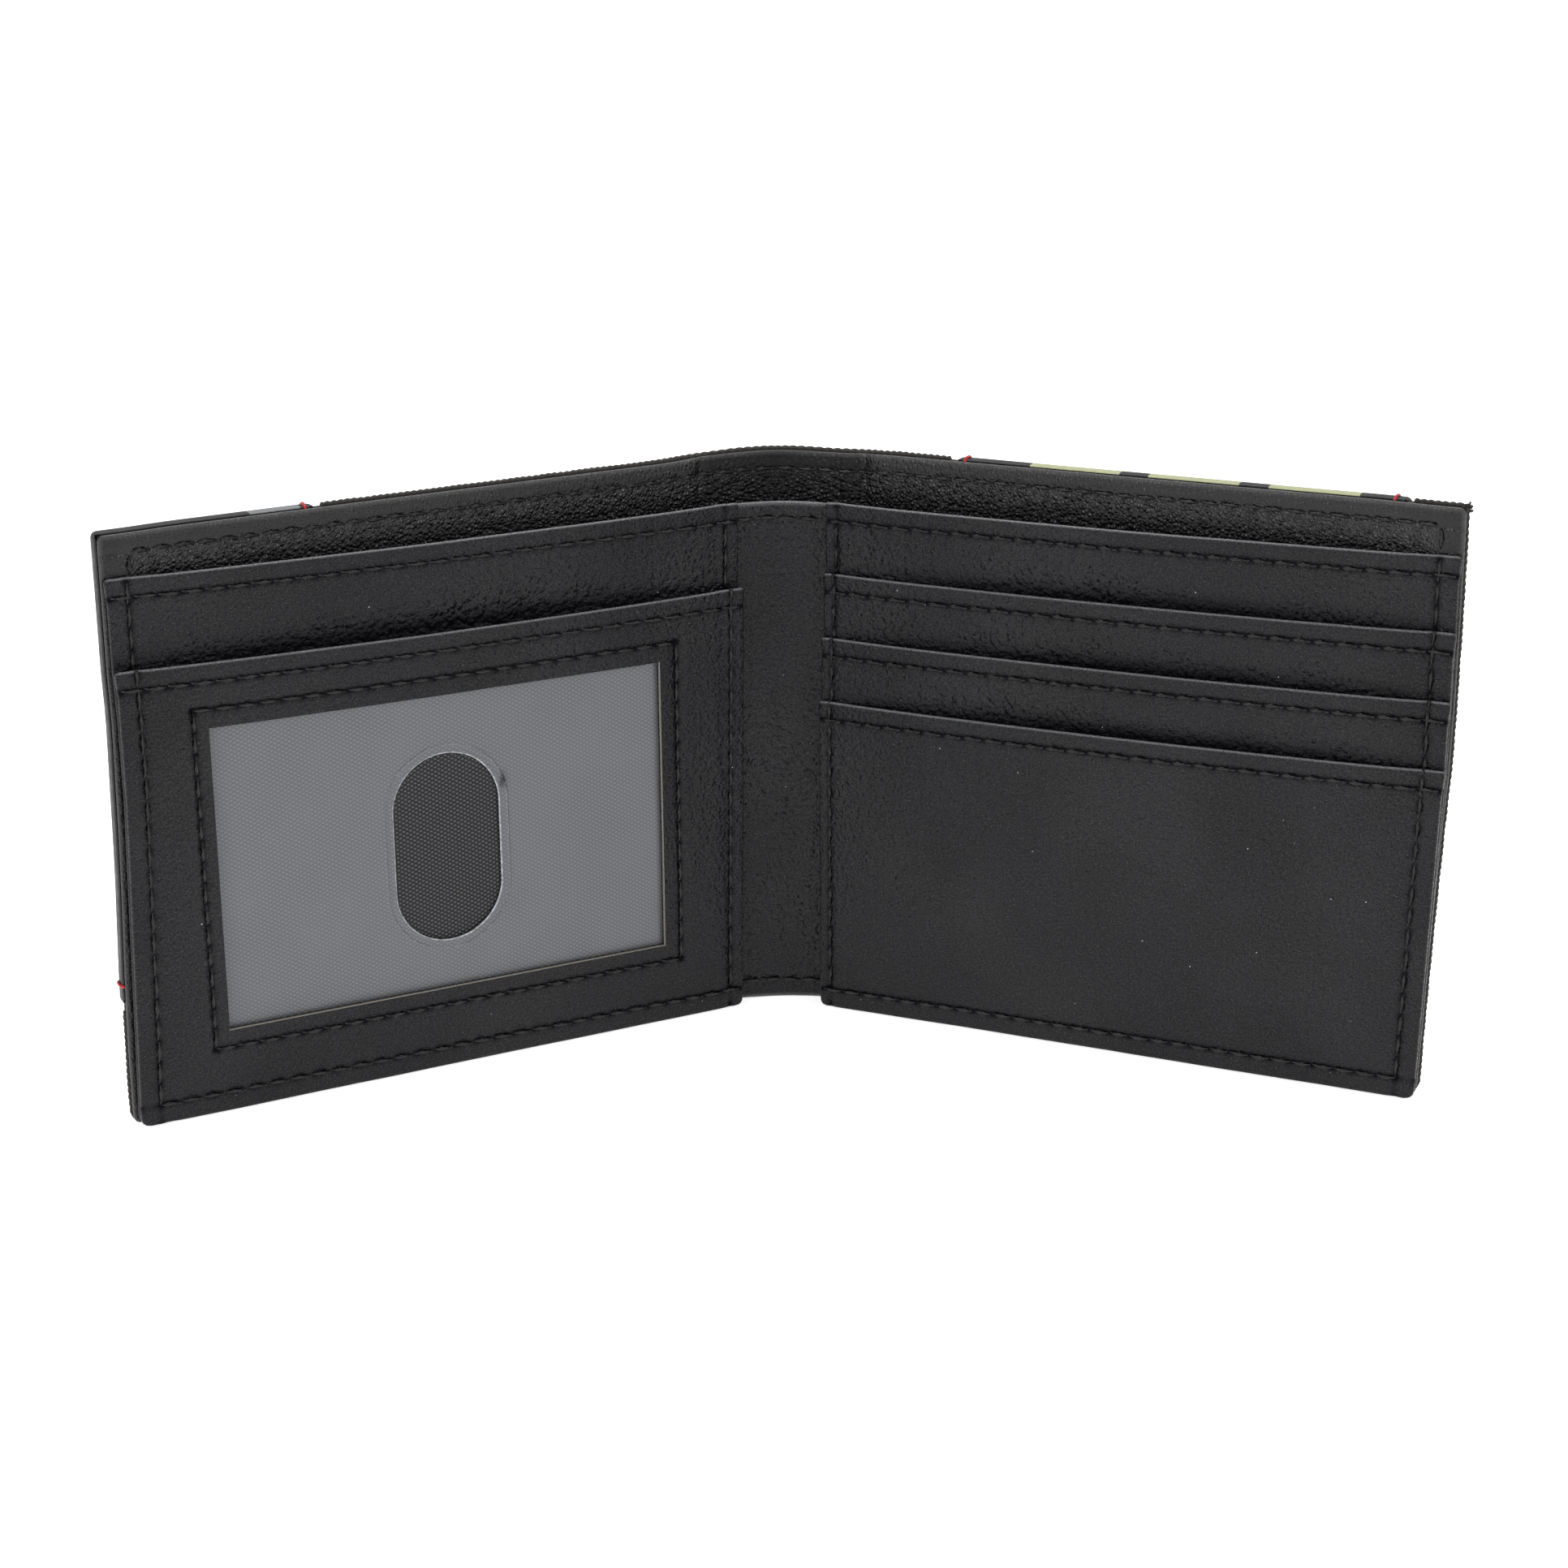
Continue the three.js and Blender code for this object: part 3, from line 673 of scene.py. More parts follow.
class Sheet:
    """A leather sheet of a panel's pocket stack, read from its CAD node."""

    def __init__(self, panel, node, rows=(), columns=(), loops=(), slots=(), sag=0.0, bow=0.0, pulled=False):
        self.panel = panel
        self.node = node
        low, high = panel.extent(node)
        self.s0, self.front, self.z0 = low
        self.s1, self.rear, self.z1 = high
        self.rows = rows  # its level seams, each (height, start, end)
        self.columns = columns  # its upright seams, each (place, start, end)
        self.loops = loops  # (s0, s1, z0, z1) of closed seams
        self.slots = slots  # heights of the pocket mouths in front of it
        self.sag = sag
        self.bow = bow
        self.pulled = pulled  # behind other sheets, and so pulled up to them by the edge seams
        self.noise = Noise(sum(map(ord, node)))

    def arch(self, s):
        """1 in the middle of the panel, 0 at its crease and free edge."""
        t = np.clip((s - self.s0 - 3) / (self.s1 - self.s0 - 6), 0, 1)
        return np.sin(math.pi * t) ** 0.7

    def straight_seams(self, s, z):
        """(distance across, stitches along) at the sheet's level and upright seams."""
        level = [(z - height, phase(s, *ends)) for height, *ends in self.rows]
        return level + [(s - place, phase(z, *ends)) for place, *ends in self.columns]

    def relief(self, s, z):
        """How far the front face lies behind its plain plane."""
        inner = smooth((s - self.s0 - 2) / 8) * smooth((self.s1 - s - 2) / 8)
        depth = -HEM_RISE * smooth((z - self.z1 + HEM) / 0.9) * inner
        for across, stitches in self.straight_seams(s, z):
            depth = depth + seam_groove(across, stitches)
        for s0, s1, z0, z1 in self.loops:
            within_s = smooth(s - s0 + 1) * smooth(s1 + 1 - s)
            within_z = smooth(z - z0 + 1) * smooth(z1 + 1 - z)
            shares = (within_z, within_z, within_s, within_s)
            for (across, stitches), within in zip(loop_sides(s, z, s0, s1, z0, z1), shares):
                depth = depth + seam_groove(across, stitches) * within
        for mouth in self.slots:
            depth = depth + DIP * hump(z - mouth + 0.5, DIP_REACH) * self.arch(s)
        if self.pulled:
            depth = depth - pull(self.panel, s, z)
        mouth = np.exp(-(self.z1 - z) / FADE)
        depth = depth - self.bow * self.arch(s) * mouth
        wide = self.noise(s / 17, z / 13) * 0.1 + self.noise(s / 6 + 9, z / 9 + 3) * 0.045
        upright = self.noise(s / 1.9 + 31, z / 11 + 5) * 0.012
        return depth + (wide + upright) * inner

    def bend(self, s, z):
        """Where the leather is crumpled most: above pocket mouths and beside seams."""
        amount = 0.0 * s
        for mouth in self.slots:
            amount = amount + hump(z - mouth - 1.5, 3.4) * (0.25 + 0.75 * self.arch(s))
        patchy = 0.65 + 0.5 * self.noise(s / 5 + 3, z / 4)
        return np.clip(amount * patchy, 0, 1)

    def shade(self, s, z):
        """Painted shade, which lowers the specular level: in the needle holes and along the seams, and the
        shadow line over a pocket mouth.
        """
        dark = 0.0 * s
        for across, stitches in self.straight_seams(s, z):
            dark = np.maximum(dark, needle_hole_shade(across, stitches))
        for s0, s1, z0, z1 in self.loops:
            within = (s > s0 - 0.5) & (s < s1 + 0.5) & (z > z0 - 0.5) & (z < z1 + 0.5)
            for across, stitches in loop_sides(s, z, s0, s1, z0, z1):
                dark = np.maximum(dark, needle_hole_shade(across, stitches) * within)
        for mouth in self.slots:
            dark = np.maximum(dark, 0.75 * hump(z - mouth, 1.6) * (0.3 + 0.7 * self.arch(s)))
        return dark

    def shape(self, s, z):
        """Place in the panel of the point of the front face at (s, z) of the flat cut."""
        mouth = np.exp(-(self.z1 - z) / FADE)
        flare = smooth((z - self.z1 + 4) / 4) * smooth((s - self.s1 + 5) / 5)
        sunk = self.sag * self.arch(s) * mouth
        if self.panel is LEFT:
            s = s + FREE_SPREAD * np.clip(1 - z / WARP_TOP, 0, 1) * smooth((s - 88) / 8)
            s = s - CREASE_SPREAD * (z / 82) * smooth((13 - s) / 11) - EDGE_SHIFT * smooth((2.4 - s) / 1.6)
        return s + 0.28 * flare, self.front + self.relief(s, z), z - sunk

    def surface(self, s, z):
        s, z = np.broadcast_arrays(np.asarray(s, float), np.asarray(z, float))
        moved_s, depth, height = self.shape(s, z)
        return self.panel.place(moved_s, depth, height)

    def build(self, hole=None):
        """The sheet's piece; hole is the (s0, s1, z0, z1) that is cut out of it."""
        thickness = self.rear - self.front
        rim = RIM_SHARE * thickness
        upright = [column[0] for column in self.columns] + [s for loop in self.loops for s in loop[:2]]
        level = [row[0] for row in self.rows] + [z for loop in self.loops for z in loop[2:]]
        ss = grid_lines(self.s0, self.s1, STEP, rim, upright)
        zz = grid_lines(self.z0, self.z1, STEP, rim, level)
        cut = None
        if hole:
            ss, zz = lines_at_cuts(ss, hole[:2]), lines_at_cuts(zz, hole[2:])
            mid_s, mid_z = (ss[1:] + ss[:-1]) / 2, (zz[1:] + zz[:-1]) / 2
            cut = np.outer((mid_z > hole[2]) & (mid_z < hole[3]), (mid_s > hole[0]) & (mid_s < hole[1]))
        foot_radii = (1.2, 1.5) if self.z0 < 1 else (0.3, 0.3)
        s, z, edge = round_corners(ss, zz, (*foot_radii, *TOP_RADII))
        fall = rounded(edge, rim)
        moved_s, depth, height = self.shape(s, z)
        front = self.panel.place(moved_s, depth + fall, height)
        back = self.panel.place(moved_s, depth + thickness - fall, height)
        # Rims lighter, fully along the top edge and faintly elsewhere: wear, and painted highlight where the
        # top edge catches the light.
        worn_and_lit = np.maximum(1 - smooth((self.z1 - z - 0.08) / 0.25), 0.15 * (1 - smooth((edge - 0.05) / 0.2)))
        values = {"rim": (worn_and_lit, BACK_WEAR_AND_LIGHT * worn_and_lit), "bend": self.bend(s, z), "shade": self.shade(s, z)}
        if hole:
            on_cut = np.isclose(s, hole[0]) & (z > hole[2] - 0.1) & (z < hole[3] + 0.1)
            on_cut |= np.isclose(z, hole[2]) & (s > hole[0] - 0.1) & (s < hole[1] + 0.1)
            values["cut"] = (on_cut, 0 * on_cut)
        piece = slab(self.node + "_leather", front, back, s, z, self.panel.side < 0, LEATHER,
                     "smooth_leather", values, hole=cut)
        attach(piece, self.panel.body)
        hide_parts(self.node)
        width, height = (self.s1 - self.s0) * MM, (self.z1 - self.z0) * MM


def stack_surface(sheets, s, z):
    """Points on the front-most of a stack's sheets; the sheets go from back to front."""
    s, z = np.broadcast_arrays(np.asarray(s, float), np.asarray(z, float))
    points = sheets[0].surface(s, z)
    for sheet in sheets[1:]:
        points = np.where((z < sheet.z1)[..., None], sheet.surface(s, z), points)
    return points


def straight(start, end):
    """Dense (s, z) points of a straight run."""
    count = max(2, int(math.dist(start, end) / 0.2))
    return np.linspace(start, end, count).T


def sewn(sheets, start, end, seed):
    """Stitches in a straight run over a stack."""
    s, z = straight(start, end)
    path = stack_surface(sheets, s, z)
    normals = np.tile(sheets[0].panel.front_normal(), (len(path), 1))
    return stitch_row(path, normals, seed, count=stitch_count(0, math.dist(start, end)))


def seam(name, node, sheets, runs, seed):
    """A seam of straight runs, each from one (s, z) to another."""
    rows = [sewn(sheets, *run, seed + i) for i, run in enumerate(runs)]
    piece = thread_piece(name, rows)
    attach(piece, sheets[0].panel.body)
    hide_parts(node)


def row_height(panel, node):
    """The height of a level seam."""
    low, high = panel.extent(node)
    return (low[2] + high[2]) / 2


def thin_sheet(panel, node, look, slot, start=None, pulled=False):
    """A plain flat nylon sheet in its CAD node's place; start is the s where it begins."""
    (s0, d0, z0), (s1, d1, z1) = panel.extent(node)
    s0 = start or s0
    thickness = min(NYLON_THICKNESS, d1 - d0)
    rim = RIM_SHARE * thickness
    noise = Noise(sum(map(ord, node)))
    ss, zz = grid_lines(s0, s1, COARSE_STEP, rim), grid_lines(z0, z1, COARSE_STEP, rim)
    s, z, edge = round_corners(ss, zz, (1.5,) * 4)
    fall = rounded(edge, rim)
    wave = noise(s / 12, z / 12) * 0.05 - (pull(panel, s, z) if pulled else 0.0)
    front = panel.place(s, (d0 + d1) / 2 - thickness / 2 + wave + fall, z)
    back = panel.place(s, (d0 + d1) / 2 + thickness / 2 + wave - fall, z)
    piece = slab(node + "_soft", front, back, s, z, panel.side < 0, look, slot)
    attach(piece, panel.body)
    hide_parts(node)


# Pocket stacks ------------------------------------------------------------------------------------


def seam_place(panel, node, which):
    """s of the upright run of thread at a seam node's crease end (0) or free end (1)."""
    low, high = panel.extent(node)
    return (low[0] + HALF_THREAD, high[0] - HALF_THREAD)[which]


class StackSeams:
    """Where the seams of a panel's pocket stack lie, as their CAD nodes have them."""

    def __init__(self, panel, crease_shift=0.0):
        word = WORDS[panel]
        low, high = panel.extent(word + "_back_pocket_sheet")
        self.inner, self.outer = low[0] + ROW_END, high[0] - ROW_END
        crease = seam_place(panel, word + "_crease_seam", 0) + crease_shift
        edge = seam_place(panel, word + "_edge_seam", 1)
        bottom = panel.extent(word + "_edge_seam")[0][2] + HALF_THREAD
        self.columns = [(crease, high[2] - CREASE_SEAM_DROP, bottom + CREASE_SEAM_RISE),
                        (edge, high[2] - EDGE_SEAM_DROP, bottom)]
        self.foot = (bottom, edge, self.inner)

    def row(self, height):
        """A level seam across the whole sheet: height, start and end."""
        return height, self.inner, self.outer


def row_seam(name, node, sheet, row, seed):
    """A level seam on one sheet."""
    height, start, end = row
    seam(name, node, [sheet], [((start, height), (end, height))], seed)


def side_seams(sheets, word, seams):
    """The seam around the free edge and bottom, and the one beside the crease."""
    (crease, crease_top, crease_end), (edge, edge_top, bottom) = seams.columns
    runs = [((edge, edge_top), (edge, bottom)), ((edge, bottom), (seams.inner, bottom))]
    seam(word + "_edge_stitches", word + "_edge_seam", sheets, runs, 21)
    run = ((crease, crease_top), (crease, crease_end))
    seam(word + "_crease_stitches", word + "_crease_seam", sheets, [run], 23)


def window_lines(panel):
    """(s0, s1, z0, z1) of the seam round the window, and of the window itself."""
    low, high = panel.extent("id_window_seam")
    loop = (low[0] + HALF_THREAD, high[0] - HALF_THREAD - LOOP_SHIFT, low[2] + HALF_THREAD,
            high[2] - HALF_THREAD)
    inset = loop[0] - panel.opening("id_window_frame")[0]
    return loop, (loop[0] - inset, loop[1] + inset + HOLE_SHIFT, loop[2] - inset, loop[3] + inset)


def left_pockets():
    """The back pocket sheet, the window pocket's frame and what lies behind them."""
    panel = LEFT
    seams = StackSeams(panel, CREASE_SEAM_SHIFT)
    top, id_top = (seams.row(row_height(panel, node)) for node in ("left_top_seam", "id_pocket_top_seam"))
    loop, hole = window_lines(panel)
    mouth = panel.extent("id_window_frame")[1][2]
    back = Sheet(panel, "left_back_pocket_sheet", [top], seams.columns, slots=[mouth], sag=0.35, bow=0.3,
                 pulled=True)
    window_frame = Sheet(panel, "id_window_frame", [id_top, seams.foot], seams.columns, [loop], sag=0.4,
                         bow=0.45)
    back.build()
    window_frame.build(hole=hole)
    row_seam("left_top_stitches", "left_top_seam", back, top, 11)
    row_seam("id_pocket_top_stitches", "id_pocket_top_seam", window_frame, id_top, 12)
    corners = [(loop[0], loop[2]), (loop[1], loop[2]), (loop[1], loop[3]), (loop[0], loop[3])]
    sides = list(zip(corners, corners[1:] + corners[:1]))
    seam("id_window_stitches", "id_window_seam", [window_frame], sides, 13)
    side_seams([back, window_frame], "left", seams)
    thin_sheet(panel, "id_pocket_liner", NYLON, "black_nylon")
    thin_sheet(panel, "left_note_divider", NYLON, "black_nylon", start=4, pulled=True)
    window_sheet(panel)


def right_pockets():
    """The back pocket sheet, the three slot facings in front of it and their liners."""
    panel = RIGHT
    seams = StackSeams(panel)
    facings = [f"slot_facing_{n}" for n in (1, 2, 3)]
    mouths = [panel.extent(node)[1][2] for node in facings]
    top = seams.row(row_height(panel, "right_top_seam"))
    rows = [seams.row(row_height(panel, f"slot_seam_{n}")) for n in (1, 2, 3)]
    back = Sheet(panel, "right_back_pocket_sheet", [top], seams.columns, slots=mouths[:1], sag=0.35,
                 bow=0.25, pulled=True)
    sheets = [back]
    for i, node in enumerate(facings):
        last = i == len(facings) - 1
        sheets.append(Sheet(panel, node, [rows[i]] + [seams.foot] * last, seams.columns,
                            slots=mouths[i + 1:i + 2], sag=0.4, bow=0.3))
    for sheet in sheets:
        sheet.build()
    row_seam("right_top_stitches", "right_top_seam", back, top, 31)
    for i, sheet in enumerate(sheets[1:]):
        row_seam(f"slot_stitches_{i + 1}", f"slot_seam_{i + 1}", sheet, rows[i], 32 + i)
    side_seams(sheets, "right", seams)
    for n in (1, 2):
        thin_sheet(panel, f"slot_liner_{n}", NYLON, "black_nylon")
    thin_sheet(panel, "right_note_divider", NYLON, "black_nylon", start=4, pulled=True)


# Clear window -------------------------------------------------------------------------------------

THUMB_WIDTH = 17.0
THUMB_HEIGHT = 29.5
BEAD_AT = 1.35  # from the thumb slot's rim out to the moulded bead around it
BEAD_HEIGHT = 0.13
LIP_HEIGHT = 0.07  # of the swell right at the rim
RING_STEPS = (0.0, 0.05, 0.16, 0.32, 0.6, 1.0, 1.15, 1.25, 1.35, 1.45, 1.55, 1.75, 2.4)
OUTER_RINGS = 21  # from the last of those steps out to the rectangle
SMUDGE_AT = (-0.54 * THUMB_WIDTH, 0.31 * THUMB_HEIGHT)  # s and z from the slot's centre
AROUND = 192  # points in each ring


def thumb_outline():
    """Points round the thumb slot, from its centre, and unit vectors out of it."""
    radius, reach = THUMB_WIDTH / 2, (THUMB_HEIGHT - THUMB_WIDTH) / 2
    side, arc = 2 * reach, math.pi * radius
    outline, normals = [], []
    for along in np.arange(AROUND) / AROUND * 2 * (side + arc):
        half, t = divmod(along, side + arc)
        if t < side:
            point, normal = np.array([radius, t - reach]), np.array([1.0, 0.0])
        else:
            angle = (t - side) / radius
            normal = np.array([math.cos(angle), math.sin(angle)])
            point = np.array([0, reach]) + radius * normal
        turn = -1 if half else 1
        outline.append(point * turn)
        normals.append(normal * turn)
    return np.array(outline), np.array(normals)


def window_sheet(panel):
    """The clear sheet, as rings that go from its thumb slot out to its rectangle."""
    node = "id_window_vinyl"
    (s0, d0, z0), (s1, d1, z1) = panel.extent(node)
    slot_s0, slot_s1, slot_z0, slot_z1 = panel.opening(node)
    centre = np.array([slot_s0 + slot_s1, slot_z0 + slot_z1]) / 2
    outline, normals = thumb_outline()
    rings = [outline + step * normals for step in RING_STEPS]
    last = rings[-1]
    low, high = np.array([s0, z0]) - centre, np.array([s1, z1]) - centre
    limit = np.where(last > 0, high, low) / np.where(np.abs(last) < 1e-6, 1e-6, last)
    outer = last * limit.min(1)[:, None]
    rings += [last + (outer - last) * share for share in np.linspace(0, 1, OUTER_RINGS + 1)[1:]]
    rings = np.array(rings) + centre
    gone = np.append(RING_STEPS, np.full(OUTER_RINGS, 9.0))[:, None]
    bead = BEAD_HEIGHT * hump(gone - BEAD_AT, 0.14) + LIP_HEIGHT * hump(gone - 0.3, 0.25)
    s, z = rings[..., 0], rings[..., 1]
    noise = Noise(5)
    wave = noise(s / 16, z / 14) * 0.09 * smooth(gone / 2)
    fall = rounded(gone, 0.1)
    front = panel.place(s, d0 + wave - bead + fall, z)
    back = panel.place(s, d1 + wave - fall, z)
    # Lighter at the thumb slot's rim and along its bead: scuffs, and painted highlight.
    rubbed_and_lit = np.broadcast_to(np.maximum(hump(gone, 0.22), 0.5 * hump(gone - BEAD_AT, 0.2)), s.shape)
    spot_s, spot_z = centre + np.array(SMUDGE_AT)
    dirt = hump(s - spot_s, 0.7) * hump(z - spot_z, 1.2) * smooth(gone * 2)
    dirt = dirt * (0.8 + 0.8 * noise(s * 2, z * 2))
    values = {"rim": rubbed_and_lit, "dirt": np.clip(dirt, 0, 1)}
    piece = slab("id_window_clear_sheet", front, back, s, z, panel.side > 0, VINYL, "clear_vinyl", values,
                 wrap=True)
    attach(piece, panel.body)
    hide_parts(node)


# Cover --------------------------------------------------------------------------------------------

JOIN = 5.0  # s where the cover leaves its curve round the spine
SPINE_REACH = 7.3  # the same curve's length from the crease to the middle of the spine
SPINE_FOOT, SPINE_TOP = 3.0, 8.7  # depth of the lining behind the crease line, mid-spine
SHADOW_AT = 81.0  # height of the shadow that the pocket stack leaves on the lining
TOP_LIFT = {LEFT: -0.4, RIGHT: 0.35}  # how far the cover's top edge stands up
BOARD_END = 93.0  # how far from the crease the board ends
BOARD_MARGIN = 4.5  # and how far from the cover's top and foot
BOARD_THICKNESS = 0.36
FOLD_AT = {LEFT: 2.2, RIGHT: 4.3}  # s where the lining has taken a fold near its top
FOLD_DEPTH = 0.5
CLOSED_GAP = 0.1  # between canvas and lining where they close on each other
EDGE_PRESS = 3.0  # width of the cover's rim, where canvas and lining meet


class Cover:
    """One half of the cover, from the middle of the spine to a panel's free edge."""

    def __init__(self, panel):
        self.panel = panel
        self.word = WORDS[panel]
        low, high = panel.extent(self.word + "_lining")
        self.s1, self.top, self.foot = high[0], high[2], low[2]
        self.lining = low[1]
        self.thickness = self.measure(self.word + "_lining")
        self.gap = high[1] - low[1] - self.thickness
        self.canvas = panel.extent(self.word + "_canvas")[0][1] - low[1]
        self.canvas_thickness = self.measure(self.word + "_canvas")

    def measure(self, node):
        """A cover sheet's thickness: its depth range at the foot, where it is flat."""
        points = self.panel.points(node)
        depth = points[points[:, 2] < self.foot + 0.1, 1]
        return depth.max() - depth.min()

    def stand_off(self, s, z):
        """How far the cover stands off the pocket stack."""
        start = self.panel.extent(self.word + "_lining")[0][0]
        return self.gap * (1 - s / self.s1) / (1 - start / self.s1) * (z / self.top)

    def edge_shift(self, z):
        """How far the free edge stands out from its plain place, at each height."""
        if self.panel is LEFT:
            return 0.7 * smooth((45 - z) / 40) - 0.8 * smooth((z - 15) / 60)
        return -0.45 * smooth((62 - z) / 45)

    def place(self, s, offset, z):
        """Points offset behind the lining's front face; s runs from -SPINE_REACH to the free edge."""
        s, offset, z = np.broadcast_arrays(np.asarray(s, float), offset, z)
        panel = self.panel
        z = z + TOP_LIFT[panel] * (z / self.top) ** 2 * smooth((s + 2) / 12)

        def on_panel(at):
            at = at + self.edge_shift(z) * smooth((at - 70) / 28)
            pulled = pull(panel, at, z) + COVER_ROOM * pull_share(at, z)
            return panel.place(at, self.lining + self.stand_off(at, z) + offset - pulled, z)

        straight_part = on_panel(np.maximum(s, JOIN))
        join = on_panel(np.full(s.shape, JOIN))
        ahead = on_panel(np.full(s.shape, JOIN + 1)) - join
        ahead /= np.linalg.norm(ahead, axis=-1, keepdims=True)
        depth = SPINE_FOOT + (SPINE_TOP - SPINE_FOOT) * z / self.top
        middle = np.stack([np.full(s.shape, MIDDLE[0]), MIDDLE[1] + depth + offset, z], -1)
        reach = SPINE_REACH + JOIN
        t = np.clip((s + SPINE_REACH) / reach, 0, 1)[..., None]
        curve = curve_between(t, middle, panel.sideways, join, ahead, reach)
        return np.where((s < JOIN)[..., None], curve, straight_part)

    def edge_distance(self, s, z):
        """How far a point is from the top, the free edge or the foot."""
        return np.minimum(np.minimum(self.s1 - s, self.top - z), z - self.foot)

    def canvas_offset(self, s, z):
        """Offset of the canvas's front face: it closes on the lining at the rim and the spine."""
        inner = smooth(self.edge_distance(s, z) / EDGE_PRESS) * smooth((s - 3) / 6)
        closed = self.thickness + CLOSED_GAP
        return closed + (self.canvas - closed) * inner

    def blend(self, piece):
        """Bakes piece's transform into its mesh; piece does not bend round the crease."""
        bend_at_crease(piece, self.panel, self.panel.place(JOIN, SPINE_FOOT, 0.0))


def cover_sheet(cover, name, nodes, offset_at, thickness, look, slot, relief, rows=(), calm=None):
    """A closed sheet over a cover half. Its spine end is cut square, with a narrow first column."""
    rim = RIM_SHARE * thickness
    ss = grid_lines(-SPINE_REACH, cover.s1, COVER_STEP, rim)
    ss = np.concatenate([[-SPINE_REACH, -SPINE_REACH + 0.03], ss[ss > -SPINE_REACH + 0.4]])
    zz = grid_lines(cover.foot, cover.top, COVER_STEP, rim, rows)
    s, z, _ = round_corners(ss, zz, (0, 1.2, 0, 1.0))
    edge = cover.edge_distance(*np.meshgrid(ss, zz))
    fall = rounded(edge, rim)
    base = offset_at(s, z)
    lift = relief(s, z)
    front = cover.place(s, base + lift + fall, z)
    back = cover.place(s, base + lift + thickness - fall, z)
    # Lighter rims, which the lining's material reads: wear, and painted highlight.
    worn_and_lit = 1 - smooth((edge - 0.1) / 0.5)
    shade = smooth((FOLD_AT[cover.panel] + 0.3 - s) / 0.6) * 0.55
    shade = np.maximum(shade, 0.45 * hump(z - SHADOW_AT, 2.2) * smooth((88 - s) / 6))
    values = {"rim": worn_and_lit, "calm": calm(s, z) if calm else 0 * s, "shade": shade}
    piece = slab(name, front, back, s, z, cover.panel.side < 0, look, slot, values)
    cover.blend(piece)
    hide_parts(*nodes)


def lining(cover):
    """The cover's pebbled inside, with its turned edge, and the seam along it."""
    panel, word = cover.panel, cover.word
    seam_z = panel.extent(word + "_cover_seam")[1][2] - HALF_THREAD
    noise = Noise(70 + panel.side)

    def relief(s, z):
        depth = seam_groove(z - seam_z, s / PITCH) - 0.1 * smooth((z - seam_z + 1.5) / 0.8)
        from_fold = s - FOLD_AT[panel] + (z - 86) * 0.05
        depth = depth + FOLD_DEPTH * hump(from_fold, 0.8) * smooth((z - 60) / 20)
        return depth + noise(s / 9, z / 12) * 0.14 * smooth(cover.edge_distance(s, z) / 6)

    def calm(s, z):
        above = smooth((z - seam_z + 0.4) / 0.8) * (0.85 + 0.15 * noise(s / 4, z))
        return np.maximum(above, smooth((s - cover.s1 + 6) / 3))

    nodes = [word + "_lining", "spine_lining"]
    cover_sheet(cover, word + "_lining_sheet", nodes, lambda s, z: 0.0 * s, cover.thickness,
                PEBBLED, "pebbled_leather", relief, [seam_z], calm)

    cover_stitches(cover, seam_z, relief)


def cover_stitches(cover, seam_z, relief):
    """The seam up the lining's free edge, round the corner and along its top."""
    panel, word = cover.panel, cover.word
    edge = seam_place(panel, word + "_edge_seam", 1)
    turn = 1.3
    angle = np.linspace(0, math.pi / 2, 9)
    column = straight((edge, panel.extent(word + "_back_pocket_sheet")[1][2] + 0.3), (edge, seam_z - turn))
    corner = np.array([edge - turn + turn * np.cos(angle), seam_z - turn + turn * np.sin(angle)])
    row = straight((edge - turn, seam_z), (-SPINE_REACH + 0.1, seam_z))
    s, z = np.concatenate([column, corner[:, 1:-1], row], axis=1)
    path = cover.place(s, relief(s, z), z)
    rows = [stitch_row(path, cover_normals(cover, s, z), 61 + panel.side)]
    piece = thread_piece(word + "_cover_stitches", rows)
    cover.blend(piece)
    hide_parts(word + "_cover_seam", "spine_cover_seam")


def cover_normals(cover, s, z):
    """Unit vectors out of the lining's front face."""
    ahead = cover.place(s + 0.2, 0.0 * s, z) - cover.place(s - 0.2, 0.0 * s, z)
    up = np.array([0.0, 0.0, 1.0])
    normal = np.cross(ahead, up) * cover.panel.side
    return normal / np.linalg.norm(normal, axis=-1, keepdims=True)


def stiffener(cover):
    """The board between the lining and the canvas, which ends where they close on each other."""
    panel, node = cover.panel, cover.word + "_stiffener"
    (s0, _, z0), (s1, _, z1) = panel.extent(node)
    s1, z0, z1 = min(s1, BOARD_END), max(z0, BOARD_MARGIN), min(z1, cover.top - BOARD_MARGIN)
    ss, zz = grid_lines(s0, s1, COARSE_STEP), grid_lines(z0, z1, COARSE_STEP)
    s, z, _ = round_corners(ss, zz, (2.0,) * 4)
    middle = (cover.thickness + cover.canvas_offset(s, z)) / 2
    front, back = (cover.place(s, middle + side * BOARD_THICKNESS / 2, z) for side in (-1, 1))
    piece = slab(node + "_board", front, back, s, z, panel.side < 0, BOARD, "fibre_board")
    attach(piece, panel.body)
    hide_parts(node)


YARN = 1.05  # along the canvas's fold
ROPE_RADIUS = 0.46
ROPE_SIDES = 12
ROPE_INSET = 0.25  # the rope's middle, in from the canvas's edge
ROPE_TURN = 1.0  # its radius round a corner
ROPE_LIFT = {"top": 0.25, "foot": 0.35}  # and how much higher it lies than that inset
ROPE_STEP = 0.17
ROPE_SUNK = 1.1  # how far it lies in where the patch covers it
FRAY_STRANDS = 16
FRAY_THICKNESS = 0.2


